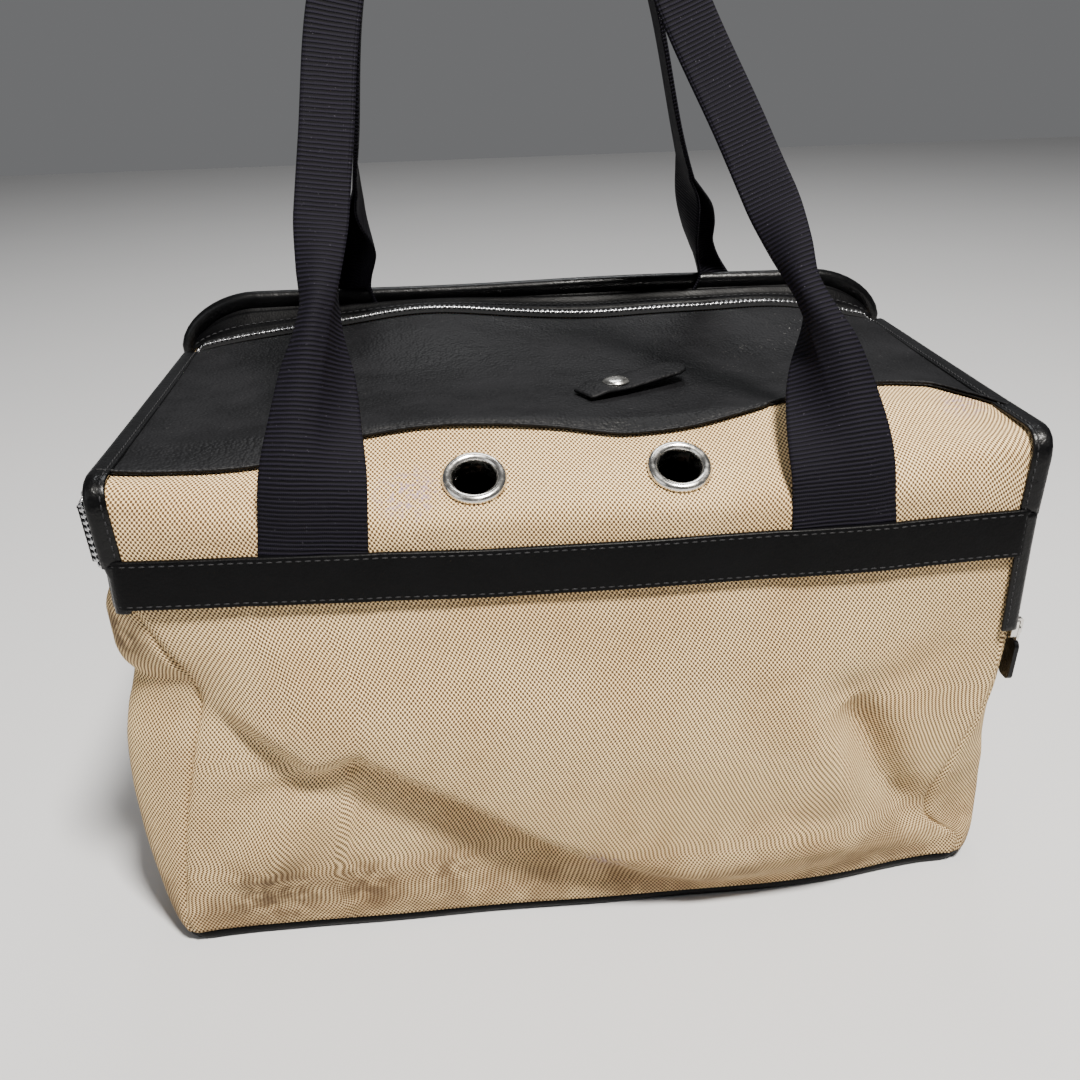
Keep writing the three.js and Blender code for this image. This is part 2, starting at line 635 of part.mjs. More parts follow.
/** Places of the middle of each handle's webbing, from its left end to its right end. */
const FRONT_ROUTE = [
  [-STRAP_X, -122.8, 211.9],
  [-117, -120.5, 245],
  [-114, -106, 276],
  [-111, -89, 311],
  [-103, -53, 378],
  [-95, -28, 436],
  [-72, -15, 502],
  [-20, -14, 531],
  [36, -15, 495],
  [58, -28, 432],
  [83, -53, 374],
  [106, -88, 310],
  [114, -106, 272],
  [118, -120.5, 240],
  [STRAP_X, -122.8, 211.9],
];
const BACK_ROUTE = [
  [-STRAP_X, 122.8, 211.9],
  [-117, 126.5, 245],
  [-113, 130, 278],
  [-110, 112, 311],
  [-99, 64, 371],
  [-89, 38, 436],
  [-70, 15, 498],
  [-20, 14, 525],
  [36, 15, 490],
  [58, 38, 432],
  [76, 64, 371],
  [100, 112, 311],
  [109, 130, 278],
  [117, 126.5, 245],
  [STRAP_X, 122.8, 211.9],
];
const PINCH = 16; // width where the webbing gathers before it folds
const FLAT_TOP = 248; // the webbing is flat below this height
const PINCH_AT = 311;
const FOLDED_AT = 340; // and folded in half above this one
const FOLDED_THICK = 3.2;

/** Width of the webbing at a height: flat at the band, gathered, then folded in half. */
function strapWidth(z) {
  const ease = (from, to) => THREE.MathUtils.smoothstep(z, from, to);
  if (z < PINCH_AT) return mix(STRAP_WIDTH, PINCH, ease(FLAT_TOP, PINCH_AT));
  return mix(PINCH, STRAP_FOLDED, ease(PINCH_AT, FOLDED_AT));
}

/** Thickness of the webbing at a height. */
function strapThick(z) {
  const share = THREE.MathUtils.clamp((z - FLAT_TOP) / (PINCH_AT - FLAT_TOP), 0, 1);
  return mix(STRAP_THICK, FOLDED_THICK, share);
}

/** A flat strap along a route, turned by twist(z) radians about its own run. */
function strap(route, twist) {
  const points = route.map((p) => new THREE.Vector3(...p));
  const curve = new THREE.CatmullRomCurve3(points, false, "centripetal");
  const steps = 46;
  const faces = [[], [], [], []];
  for (let i = 0; i <= steps; i++) {
    const at = curve.getPointAt(i / steps);
    const run = curve.getTangentAt(i / steps);
    const across = new THREE.Vector3().crossVectors(AY, run).normalize();
    const through = new THREE.Vector3().crossVectors(run, across).normalize();
    const turn = twist(at.z);
    const wide = across.clone().multiplyScalar(Math.cos(turn));
    wide.addScaledVector(through, Math.sin(turn));
    const thick = new THREE.Vector3().crossVectors(run, wide).normalize();
    if (i === 0 || i === steps) {
      wide.z = 0;
      thick.set(0, Math.sign(thick.y), 0);
      wide.normalize();
    }
    const halfWide = strapWidth(at.z) / 2;
    const halfThick = strapThick(at.z) / 2;
    const corner = (a, b) => {
      const p = at.clone().addScaledVector(wide, a * halfWide).addScaledVector(thick, b * halfThick);
      return p.toArray();
    };
    faces[0].push(corner(-1, 1));
    faces[1].push(corner(1, 1));
    faces[2].push(corner(-1, -1));
    faces[3].push(corner(1, -1));
  }
  return between([faces[0], faces[1]], [faces[2], faces[3]]);
}

/** A quarter turn that begins at a height. */
function quarterFrom(low) {
  const TURN_OVER = 60;
  return (z) => (Math.PI / 2) * THREE.MathUtils.clamp((z - low) / TURN_OVER, 0, 1);
}
place("handle_front", strap(FRONT_ROUTE, quarterFrom(445)), webbing);
place("handle_back", strap(BACK_ROUTE, quarterFrom(290)), webbing);

export default bag;
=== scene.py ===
"""Looks of a canvas and leather pet carrier bag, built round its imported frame.

The script's own sizes are in millimetres, in the frame's axes: +Z up, X to the bag's
right seen from the front, and the front facing -Y. Meshes are made in metres.
"""

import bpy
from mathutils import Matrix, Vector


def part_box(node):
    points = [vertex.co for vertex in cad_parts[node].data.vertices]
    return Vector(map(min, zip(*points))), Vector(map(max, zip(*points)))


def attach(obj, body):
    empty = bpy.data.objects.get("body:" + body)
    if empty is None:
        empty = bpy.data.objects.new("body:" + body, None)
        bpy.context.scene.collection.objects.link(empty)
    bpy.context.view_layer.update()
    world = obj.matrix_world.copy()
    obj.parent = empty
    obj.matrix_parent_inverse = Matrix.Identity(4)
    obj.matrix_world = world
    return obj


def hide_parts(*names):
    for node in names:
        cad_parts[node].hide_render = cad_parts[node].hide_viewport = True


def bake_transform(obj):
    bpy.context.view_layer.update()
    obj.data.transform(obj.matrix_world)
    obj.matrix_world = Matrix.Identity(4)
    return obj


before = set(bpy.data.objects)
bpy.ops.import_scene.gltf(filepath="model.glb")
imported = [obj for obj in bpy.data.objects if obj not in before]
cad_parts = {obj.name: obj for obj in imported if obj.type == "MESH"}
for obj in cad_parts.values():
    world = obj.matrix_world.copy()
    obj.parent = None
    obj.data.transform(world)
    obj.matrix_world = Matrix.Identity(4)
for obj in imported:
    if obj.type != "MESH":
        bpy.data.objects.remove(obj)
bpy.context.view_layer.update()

import logging
import math
from dataclasses import dataclass, field
from enum import Enum

import bmesh
import bpy
import numpy as np
from mathutils import Matrix

LOG = logging.getLogger("carrier_bag")
MM = 0.001
WEAVE = "weave"
Array = np.ndarray
Value = "float | tuple | Socket"


# ---- lines and surfaces -----------------------------------------------------------


class Line:
    """A smooth line through (position, value) points that never overshoots them."""

    def __init__(self, *points: tuple[float, float]) -> None:
        """Works out the slope at each point.

        Args:
            points: (position, value) pairs in rising order of position.
        """
        self.at, self.value = np.array(points, float).T
        step = np.diff(self.value) / np.diff(self.at)
        before, after = step[:-1], step[1:]
        together = before * after > 0
        total = np.where(together, before + after, 1.0)
        inner = np.where(together, 2 * before * after / total, 0.0)
        self.slope = np.concatenate(([step[0]], inner, [step[-1]]))

    def __call__(self, x: Array) -> Array:
        """The line's value at x, held level past its two ends."""
        x = np.clip(x, self.at[0], self.at[-1])
        i = np.clip(np.searchsorted(self.at, x) - 1, 0, len(self.at) - 2)
        wide = self.at[i + 1] - self.at[i]
        t = (x - self.at[i]) / wide
        rise = self.value[i + 1] - self.value[i]
        first = self.slope[i] * wide
        last = self.slope[i + 1] * wide
        curve = rise * t * t * (3 - 2 * t)
        return self.value[i] + curve + first * t * (1 - t) ** 2 - last * t * t * (1 - t)


def mix(a: Array, b: Array, t: Array) -> Array:
    """A value a share t of the way from a to b."""
    return a + (b - a) * t


def ease(x: Array, low: float, high: float) -> Array:
    """A smooth rise from 0 at low to 1 at high."""
    t = np.clip((x - low) / (high - low), 0, 1)
    return t * t * (3 - 2 * t)


def hump(x: Array, centre: float, spread: float) -> Array:
    """A round bump of height 1 about a centre."""
    return np.exp(-(((x - centre) / spread) ** 2))


def unit(v: Array) -> Array:
    """Vectors of length 1 in the same directions."""
    return v / np.maximum(np.linalg.norm(v, axis=-1, keepdims=True), 1e-9)


def stack(x: Array, y: Array, z: Array) -> Array:
    """One array of points from three arrays of coordinates."""
    return np.stack(np.broadcast_arrays(x, y, z), axis=-1).astype(float)


def normals(points: Array) -> Array:
    """The unit normals of a grid of points, by its rows and columns."""
    across = np.gradient(points, axis=1)
    along = np.gradient(points, axis=0)
    return unit(np.cross(across, along))


def run_length(points: Array, axis: int) -> Array:
    """The length run along a grid's axis, from 0 at its middle."""
    step = np.linalg.norm(np.diff(points, axis=axis), axis=-1)
    total = np.concatenate((np.zeros_like(np.take(step, [0], axis)), np.cumsum(step, axis)), axis)
    return total - np.take(total, [total.shape[axis] // 2], axis)


def tangents(path: Array) -> Array:
    """The unit direction of a path at each of its points."""
    return unit(np.gradient(path, axis=0))


def resampled(path: Array, spacing: float, *carried: Array) -> tuple[Array, ...]:
    """A path with evenly spaced points, and the values carried on it.

    Args:
        path: points along the path.
        spacing: distance between two points of the new path.
        carried: one array of vectors for each thing carried along the path.

    Returns:
        The new path and the carried arrays at its points.
    """
    step = np.linalg.norm(np.diff(path, axis=0), axis=1)
    run = np.concatenate(([0], np.cumsum(step)))
    count = max(2, int(round(run[-1] / spacing)) + 1)
    new = np.linspace(0, run[-1], count)
    return tuple(np.stack([np.interp(new, run, column) for column in values.T], 1)
                 for values in (path, *carried))


def spline(points: Array, per_span: int = 16) -> Array:
    """A centripetal Catmull-Rom curve through points."""
    p = np.array(points, float)
    p = np.vstack((2 * p[0] - p[1], p, 2 * p[-1] - p[-2]))
    out = []
    for a, b, c, d in zip(p, p[1:], p[2:], p[3:]):
        t1 = math.sqrt(np.linalg.norm(b - a))
        t2 = t1 + math.sqrt(np.linalg.norm(c - b))
        t3 = t2 + math.sqrt(np.linalg.norm(d - c))
        t = np.linspace(t1, t2, per_span, endpoint=False)[:, None]
        ab = (t1 - t) / t1 * a + t / t1 * b
        bc = (t2 - t) / (t2 - t1) * b + (t - t1) / (t2 - t1) * c
        cd = (t3 - t) / (t3 - t2) * c + (t - t2) / (t3 - t2) * d
        abc = (t2 - t) / t2 * ab + t / t2 * bc
        bcd = (t3 - t) / (t3 - t1) * bc + (t - t1) / (t3 - t1) * cd
        out.append((t2 - t) / (t2 - t1) * abc + (t - t1) / (t2 - t1) * bcd)
    out.append(p[-2][None])
    return np.vstack(out)


# ---- meshes -----------------------------------------------------------------------


def make_mesh(name: str, points: Array, faces: list, uv: Array | None = None) -> bpy.types.Object:
    """A smooth shaded object from points in millimetres.

    Args:
        name: the piece's name.
        points: one row for each vertex.
        faces: lists of vertex numbers.
        uv: a place on the cloth in millimetres for each vertex, where it has one.

    Returns:
        The new object, with its faces turned outwards.
    """
    mesh = bpy.data.meshes.new(name)
    mesh.from_pydata((np.asarray(points).reshape(-1, 3) * MM).tolist(), [], faces)
    if uv is not None:
        layer = mesh.uv_layers.new(name=WEAVE)
        corner = np.zeros(len(mesh.loops), np.int32)
        mesh.loops.foreach_get("vertex_index", corner)
        layer.data.foreach_set("uv", np.asarray(uv, np.float32)[corner].ravel())
    work = bmesh.new()
    work.from_mesh(mesh)
    bmesh.ops.recalc_face_normals(work, faces=work.faces)
    work.to_mesh(mesh)
    work.free()
    mesh.polygons.foreach_set("use_smooth", np.ones(len(mesh.polygons), bool))
    thing = bpy.data.objects.new(name, mesh)
    bpy.context.scene.collection.objects.link(thing)
    return thing


def quads(rows: int, cols: int, start: int = 0, ring: bool = False) -> list:
    """Faces of a grid of vertices that starts at a number; ring joins its last column to its first."""
    last = cols if ring else cols - 1
    return [
        [start + r * cols + c, start + r * cols + (c + 1) % cols,
         start + (r + 1) * cols + (c + 1) % cols, start + (r + 1) * cols + c]
        for r in range(rows - 1)
        for c in range(last)
    ]


def sheet(name: str, outer: Array, thick: float, inward: float = 1.0, ring: bool = False,
          along: Array | None = None) -> bpy.types.Object:
    """A closed sheet of cloth or leather with rounded edges.

    Args:
        name: the piece's name.
        outer: a grid of points of its outer face.
        thick: its thickness.
        inward: 1 where the grid's normals point out of the bag, or -1.
        ring: True where the last column meets the first.
        along: how far along the cloth each row lies, or None to measure every column.

    Returns:
        The new object.
    """
    rows, cols = outer.shape[:2]
    out = normals(outer) * inward
    if ring:
        wide = np.concatenate((outer[:, -3:], outer, outer[:, :3]), axis=1)
        out = normals(wide)[:, 3:-3] * inward
    inner = outer - out * thick
    length = run_length(outer, 0) if along is None else along[:, None] + np.zeros(cols)
    uv = np.stack((run_length(outer, 1), length), -1).reshape(-1, 2)
    count = rows * cols
    faces = quads(rows, cols, 0, ring) + quads(rows, cols, count, ring)
    r, c = np.arange(rows), np.arange(cols)
    if ring:
        borders = [c, (rows - 1) * cols + c]
    else:
        borders = [np.concatenate((c, r[1:] * cols + cols - 1, ((rows - 1) * cols + c)[::-1][1:],
                                   (r * cols)[::-1][1:-1]))]
    centre = (outer + inner) / 2
    points = [outer.reshape(-1, 3), inner.reshape(-1, 3)]
    spread = [uv, uv]
    start = 2 * count
    for border in borders:
        middle = centre.reshape(-1, 3)[border]
        ahead = unit(np.roll(middle, -1, 0) - np.roll(middle, 1, 0))
        side = unit(np.cross(ahead, out.reshape(-1, 3)[border]))
        inside = centre[rows // 2, cols // 2] if not ring else middle + (centre[rows // 2] - middle)
        if np.sum((middle - inside) * side) < 0:
            side = -side
        points.append(middle + side * thick * 0.35)
        spread.append(uv[border])
        n = len(border)
        for k in range(n):
            a, b = border[k], border[(k + 1) % n]
            m0, m1 = start + k, start + (k + 1) % n
            faces.append([int(a), int(b), m1, m0])
            faces.append([int(a) + count, m0, m1, int(b) + count])
        start += n
    return make_mesh(name, np.vstack(points), faces, np.vstack(spread))


def sweep(name: str, path: Array, across: Array, up: Array, section: Array) -> bpy.types.Object:
    """A closed section carried along a path, with flat ends.

    Args:
        name: the piece's name.
        path: points along the path.
        across: the section's first axis at each point.
        up: its second axis at each point.
        section: (across, up) points of the section, one list for all or one for each point.

    Returns:
        The new object.
    """
    section = np.array(section, float)
    if section.ndim == 2:
        section = np.repeat(section[None], len(path), 0)
    points = path[:, None] + across[:, None] * section[..., :1] + up[:, None] * section[..., 1:]
    rows, cols = points.shape[:2]
    faces = quads(rows, cols, 0, ring=True)
    faces.append(list(range(cols)))
    faces.append(list(range((rows - 1) * cols, rows * cols)))
    around = run_length(points, 1)
    along = np.repeat(run_length(path[:, None], 0), cols, 1)
    return make_mesh(name, points, faces, np.stack((around, along), -1).reshape(-1, 2))


def rounded_section(width: float, height: float, radius: float, steps: int = 4) -> list:
    """A rectangle's outline about the origin, with round corners."""
    out = []
    for quarter, (sx, sy) in enumerate(((1, 1), (-1, 1), (-1, -1), (1, -1))):
        cx, cy = sx * (width / 2 - radius), sy * (height / 2 - radius)
        for i in range(steps + 1):
            a = (quarter + i / steps) * math.pi / 2
            out.append((cx + radius * math.cos(a), cy + radius * math.sin(a)))
    return out


def scatter(name: str, shape: Array, faces: list, places: Array, axes: Array) -> bpy.types.Object:
    """Many copies of one small shape in one mesh.

    Args:
        name: the piece's name.
        shape: the shape's vertices.
        faces: its faces.
        places: where each copy stands.
        axes: three rows for each copy, the directions of the shape's X, Y and Z.

    Returns:
        The new object.
    """
    points = places[:, None] + np.einsum("vk,nkd->nvd", shape, axes)
    every = [[v + n * len(shape) for v in face] for n in range(len(places)) for face in faces]
    return make_mesh(name, points, every)


def loft(rings: list) -> tuple[Array, list]:
    """A closed shape through rings of equally many points."""
    rings = np.array(rings, float)
    count, around = rings.shape[:2]
    faces = quads(count, around, 0, ring=True)
    faces.append(list(range(around)))
    faces.append(list(range((count - 1) * around, count * around)))
    return rings.reshape(-1, 3), faces


def lathe(name: str, profile: list, segments: int = 64) -> bpy.types.Object:
    """A round piece on the Z axis from a closed list of (radius, height) points."""
    angle = np.arange(segments) * 2 * math.pi / segments
    ring = np.array(profile, float)
    points = stack(ring[None, :, 0] * np.cos(angle)[:, None],
                   ring[None, :, 0] * np.sin(angle)[:, None], ring[None, :, 1])
    around = len(profile)
    faces = [
        [s * around + k, s * around + (k + 1) % around,
         (s + 1) % segments * around + (k + 1) % around, (s + 1) % segments * around + k]
        for s in range(segments)
        for k in range(around)
    ]
    thing = make_mesh(name, points, faces)
    work = bmesh.new()
    work.from_mesh(thing.data)
    bmesh.ops.remove_doubles(work, verts=work.verts, dist=1e-6)
    bmesh.ops.recalc_face_normals(work, faces=work.faces)
    work.to_mesh(thing.data)
    work.free()
    return thing


def set_down(thing: bpy.types.Object, place: Array, axes: Array) -> bpy.types.Object:
    """Turns a piece's mesh to three axes and moves it to a place in millimetres."""
    turn = Matrix(np.array(axes, float).T.tolist()).to_4x4()
    turn.translation = (np.array(place, float) * MM).tolist()
    thing.data.transform(turn)
    return thing


def cut_hole(thing: bpy.types.Object, place: Array, direction: Array, radius: float) -> None:
    """Cuts a round hole through a closed piece.

    Args:
        thing: the piece.
        place: a point on the hole's axis.
        direction: the axis's direction.
        radius: the hole's radius.
    """
    side = unit(np.cross(direction, (1.0, 0.0, 0.0)))
    third = np.cross(direction, side)
    angle = np.arange(48) * 2 * math.pi / 48
    circle = radius * (np.cos(angle)[:, None] * side + np.sin(angle)[:, None] * third)
    rings = [np.array(place) + circle + direction * reach for reach in (-20.0, 20.0)]
    points, faces = loft(rings)
    cutter = make_mesh("cutter", points, faces)
    cut = thing.modifiers.new("hole", "BOOLEAN")
    cut.object = cutter
    cut.solver = "EXACT"
    bpy.context.view_layer.update()
    shaped = bpy.data.meshes.new_from_object(thing.evaluated_get(bpy.context.evaluated_depsgraph_get()))
    thing.modifiers.clear()
    thing.data = shaped
    bpy.data.objects.remove(cutter)


# ---- shader maths -----------------------------------------------------------------


@dataclass(frozen=True)
class Socket:
    """An output socket of a material; arithmetic on it adds Math nodes."""

    paint: "Paint"
    out: bpy.types.NodeSocket

    def maths(self, operation: str, *values: Value) -> "Socket":
        """One Math node's result on this socket and other values."""
        return self.paint.add("ShaderNodeMath", {"operation": operation},
                              dict(enumerate((self, *values))))

    def __add__(self, other: Value) -> "Socket":
        """The sum with another value."""
        return self.maths("ADD", other)

    __radd__ = __add__

    def __sub__(self, other: Value) -> "Socket":
        """The difference from another value."""
        return self.maths("SUBTRACT", other)

    def __rsub__(self, other: float) -> "Socket":
        """A number less this socket."""
        return self.maths("MULTIPLY_ADD", -1.0, other)

    def __mul__(self, other: Value) -> "Socket":
        """The product with another value."""
        return self.maths("MULTIPLY", other)

    __rmul__ = __mul__

    def __truediv__(self, other: Value) -> "Socket":
        """The quotient by another value."""
        return self.maths("DIVIDE", other)

    def __pow__(self, other: Value) -> "Socket":
        """The socket's value to a power."""
        return self.maths("POWER", other)

    def __abs__(self) -> "Socket":
        """The value without its sign."""
        return self.maths("ABSOLUTE")

    def cos(self) -> "Socket":
        """The cosine of the value."""
        return self.maths("COSINE")

    def rise(self, low: float, high: float) -> "Socket":
        """A smooth rise from 0 to 1 between two values."""
        settings = {"interpolation_type": "SMOOTHSTEP"}
        return self.paint.add("ShaderNodeMapRange", settings, {0: self, 1: low, 2: high})


def opaque(colour: Value) -> Value:
    """A colour that a node's input takes: a socket as it is, three numbers with an alpha of 1."""
    return colour if isinstance(colour, Socket) else (*colour, 1.0)


class Paint:
    """A material being made, and the one method that adds its nodes."""

    def __init__(self, name: str) -> None:
        """Starts an empty material with a name."""
        self.material = bpy.data.materials.new(name)
        self.material.use_nodes = True
        self.tree = self.material.node_tree
        self.tree.nodes.clear()

    def add(self, kind: str, settings: dict, inputs: dict, output: int = 0) -> Socket:
        """Adds a node.

        Args:
            kind: the node's type.
            settings: its properties, set first.
            inputs: values or sockets for its inputs, by name or number.
            output: which of its outputs is wanted.

        Returns:
            The wanted output.
        """
        node = self.tree.nodes.new(kind)
        for key, value in settings.items():
            setattr(node, key, value)
        for key, value in inputs.items():
            if isinstance(value, Socket):
                self.tree.links.new(value.out, node.inputs[key])
            else:
                node.inputs[key].default_value = value
        return Socket(self, node.outputs[output])

    def place(self) -> Socket:
        """The point on the piece, in millimetres."""
        point = self.add("ShaderNodeTexCoord", {}, {}, 3)
        scale = (1 / MM,) * 3
        return self.add("ShaderNodeVectorMath", {"operation": "MULTIPLY"}, {0: point, 1: scale})

    def parts(self, vector: Socket) -> tuple[Socket, Socket, Socket]:
        """The three numbers of a vector."""
        first = self.add("ShaderNodeSeparateXYZ", {}, {0: vector})
        node = first.out.node
        return tuple(Socket(self, node.outputs[k]) for k in range(3))

    def cloth_place(self) -> tuple[Socket, Socket]:
        """How far across and along its cloth a point lies, in millimetres."""
        across, along, _ = self.parts(self.add("ShaderNodeUVMap", {"uv_map": WEAVE}, {}))
        return across, along

    def noise(self, size: float, detail: float = 2.0, vector: Socket | None = None) -> Socket:
        """Soft random values from 0 to 1, with lumps of a size in millimetres."""
        source = vector or self.place()
        inputs = {"Vector": source, "Scale": 1 / size, "Detail": detail, "Roughness": 0.55}
        return self.add("ShaderNodeTexNoise", {}, inputs)

    def pebbles(self, size: float) -> Socket:
        """The distance from the middle of each pebble of a grain, 0 to about 1."""
        settings = {"feature": "SMOOTH_F1"}
        inputs = {"Vector": self.place(), "Scale": 1 / size, "Smoothness": 0.35, "Randomness": 0.9}
        return self.add("ShaderNodeTexVoronoi", settings, inputs)

    def spot(self, centre: tuple, radius: float) -> Socket:
        """A soft spot about a point in millimetres, 1 at its middle and 0 past its radius."""
        away = self.add("ShaderNodeVectorMath", {"operation": "DISTANCE"},
                        {0: self.place(), 1: centre}, 1)
        return 1 - away.rise(radius * 0.2, radius)

    def tint(self, share: Value, first: Value, second: Value) -> Socket:
        """A colour a share of the way from the first to the second."""
        inputs = {0: share, 6: opaque(first), 7: opaque(second)}
        return self.add("ShaderNodeMix", {"data_type": "RGBA"}, inputs, 2)

    def bump(self, height: Socket, depth: float, under: Socket | None = None) -> Socket:
        """A normal from a height of 0 to 1 that stands for a depth in millimetres."""
        inputs = {"Strength": 1.0, "Distance": depth * MM, "Height": height}
        if under:
            inputs["Normal"] = under
        return self.add("ShaderNodeBump", {}, inputs)

    def done(self, colour: Value, roughness: Value, normal: Socket | None = None,
             **fixed: float) -> bpy.types.Material:
        """Ends the material with its surface shader.

        Args:
            colour: base colour, as a socket or three numbers.
            roughness: a socket or a number.
            normal: the bumped normal, if there is one.
            fixed: numbers for other inputs, with _ for the spaces in their names.

        Returns:
            The finished material.
        """
        inputs = {"Base Color": opaque(colour), "Roughness": roughness}
        inputs.update({key.replace("_", " "): value for key, value in fixed.items()})
        if normal:
            inputs["Normal"] = normal
        shader = self.add("ShaderNodeBsdfPrincipled", {}, inputs)
        end = self.tree.nodes.new("ShaderNodeOutputMaterial")
        self.tree.links.new(shader.out, end.inputs[0])
        return self.material


# ---- finishes ---------------------------------------------------------------------

TURN = 2 * math.pi


@dataclass(frozen=True)
class CanvasCloth:
    """Undyed canvas: round threads in rows that step half a dot, soiled with use, darkened low down and in a
    few spots partly as painted shade.
    """

    thread: tuple = (0.95, 0.70, 0.375)
    worn: tuple = (0.74, 0.49, 0.235)
    gap: tuple = (0.085, 0.042, 0.015)
    dot_pitch: float = 2.0
    row_pitch: float = 1.3
    ink: tuple = (0.30, 0.22, 0.38)
    # Dark spots: the first three are a dirt line low on the left, darkened further as painted shade under the
    # front fold; the last is painted shadow in the pocket under the left end of the band.
    soil_and_shade_marks: tuple = (((-158, -128, 29), 36), ((-112, -132, 31), 25), ((-70, -132, 33), 22),
                         ((-216, -112, 172), 22))
    ink_marks: tuple = (((-77, -106, 232), 20), ((192, -72, 244), 19), ((6, -131, 36), 16))

    def build(self, name: str) -> bpy.types.Material:
        """Makes the canvas material."""
        paint = Paint(name)
        across, along = paint.cloth_place()
        wander = paint.noise(9.0, 2.0) - 0.5
        dots = ((across + wander * 0.55) * (TURN / self.dot_pitch)).cos()
        rows = ((along + wander * 0.4) * (TURN / (2 * self.row_pitch))).cos()
        weave = dots * rows
        top = weave.rise(-0.50, 0.45)
        patchy = paint.noise(46.0, 4.0)
        slub = paint.noise(1.6, 2.0)
        body = paint.tint(patchy.rise(0.35, 0.72) * 0.55, self.thread, self.worn)
        body = paint.tint(slub.rise(0.42, 0.75) * 0.30, body, self.worn)
        _, _, height = paint.parts(paint.place())
        # Darker towards the bottom: partly grime, partly painted shade over the low front.
        low_grime_and_shade = (1 - height.rise(6.0, 86.0)) * (paint.noise(22.0, 5.0).rise(0.38, 0.64) * 0.65 + 0.35)
        body = paint.tint(low_grime_and_shade * 0.66, body, (0.19, 0.12, 0.065))
        # Soil and painted shade in the dark spots.
        for centre, radius in self.soil_and_shade_marks:
            soiled_and_shaded = paint.spot(centre, radius) * paint.noise(8.0, 4.0).rise(0.36, 0.60)
            body = paint.tint(soiled_and_shaded * 0.8, body, (0.13, 0.085, 0.05))
        colour = paint.tint(top, self.gap, body)
        streak = paint.noise(2.4, 3.0).rise(0.50, 0.60)
        for centre, radius in self.ink_marks:
            colour = paint.tint(paint.spot(centre, radius) * streak * 0.42, colour, self.ink)
        relief = paint.bump(top, 0.48)
        relief = paint.bump(paint.noise(14.0, 4.0), 0.9, relief)
        return paint.done(colour, 0.92, relief, Specular_IOR_Level=0.2)


@dataclass(frozen=True)
class Leather:
    """Black leather: a pebbled grain over soft wrinkles, with dust caught in it."""

    colour: tuple = (0.0032, 0.0032, 0.0037)
    grain: float = 1.5
    grain_depth: float = 0.17
    wrinkle: float = 16.0
    wrinkle_depth: float = 0.6
    roughness: float = 0.48
    dust: float = 0.0
    dusty: tuple = (150.0, 30.0, 258.0)
    coat: float = 0.0
    shine: float = 0.13

    def build(self, name: str) -> bpy.types.Material:
        """Makes the leather material."""
        paint = Paint(name)
        pebble = paint.pebbles(self.grain)
        patchy = paint.noise(34.0, 4.0)
        colour = paint.tint(pebble.rise(0.25, 0.75) * 0.5, self.colour,
                            tuple(c * 0.35 for c in self.colour))
        colour = paint.tint(patchy.rise(0.35, 0.7) * 0.5, colour, tuple(c * 2.2 for c in self.colour))
        if self.dust:
            specks = paint.noise(1.3, 1.0).rise(0.71, 0.80) * paint.noise(38.0, 3.0).rise(0.50, 0.64)
            specks = specks * (paint.spot(self.dusty, 105.0) * 0.92 + 0.08)
            colour = paint.tint(specks * self.dust, colour, (0.42, 0.41, 0.40))
        rough = patchy.rise(0.3, 0.75) * 0.14 + (self.roughness - 0.05)
        relief = paint.bump(1 - pebble, self.grain_depth)
        relief = paint.bump(paint.noise(self.wrinkle, 4.0), self.wrinkle_depth, relief)
        return paint.done(colour, rough, relief, Specular_IOR_Level=self.shine, Coat_Weight=self.coat,
                          Coat_Roughness=0.3)


@dataclass(frozen=True)
class Webbing:
    """Dark ribbed webbing: raised ribs straight across, with fine threads over them."""

    ridge: tuple = (0.0062, 0.0052, 0.0102)
    valley: tuple = (0.0008, 0.0007, 0.0012)
    rib_pitch: float = 2.0
    thread_pitch: float = 0.9

    def build(self, name: str) -> bpy.types.Material:
        """Makes the webbing material."""
        paint = Paint(name)
        across, along = paint.cloth_place()
        wander = paint.noise(7.0, 2.0) - 0.5
        rib = ((along + wander * 0.5) * (TURN / self.rib_pitch)).cos() * 0.5 + 0.5
        thread = (across * (TURN / self.thread_pitch)).cos() * 0.5 + 0.5
        high = rib.rise(0.10, 0.95)
        colour = paint.tint(high, self.valley, self.ridge)
        colour = paint.tint(paint.noise(24.0, 3.0).rise(0.4, 0.7) * 0.35, colour, (0.004, 0.0035, 0.006))
        lint = paint.noise(1.1, 1.0).rise(0.73, 0.80)
        colour = paint.tint(lint * 0.18, colour, (0.16, 0.15, 0.18))
        relief = paint.bump(high * 0.85 + thread * high * 0.15, 0.34)
        return paint.done(colour, 0.75, relief, Specular_IOR_Level=0.10)


@dataclass(frozen=True)
class WovenCloth:
    """A plain fine cloth, for tape, lining, cushion cover and thread."""

    colour: tuple
    pitch: float = 0.8
    depth: float = 0.12
    roughness: float = 0.85
    mottle: float = 0.4

    def build(self, name: str) -> bpy.types.Material:
        """Makes the cloth material, whose threads don't need a cloth map."""
        paint = Paint(name)
        x, y, z = paint.parts(paint.place())
        turn = TURN / self.pitch
        threads = ((x + z * 0.5) * turn).cos() * ((y + z * 0.5) * turn).cos()
        top = threads.rise(-0.6, 0.7)
        dark = tuple(c * 0.45 for c in self.colour)
        colour = paint.tint(top, dark, self.colour)
        colour = paint.tint(paint.noise(25.0, 4.0).rise(0.4, 0.7) * self.mottle, colour, dark)
        relief = paint.bump(top, self.depth)
        return paint.done(colour, self.roughness, relief, Specular_IOR_Level=0.2)


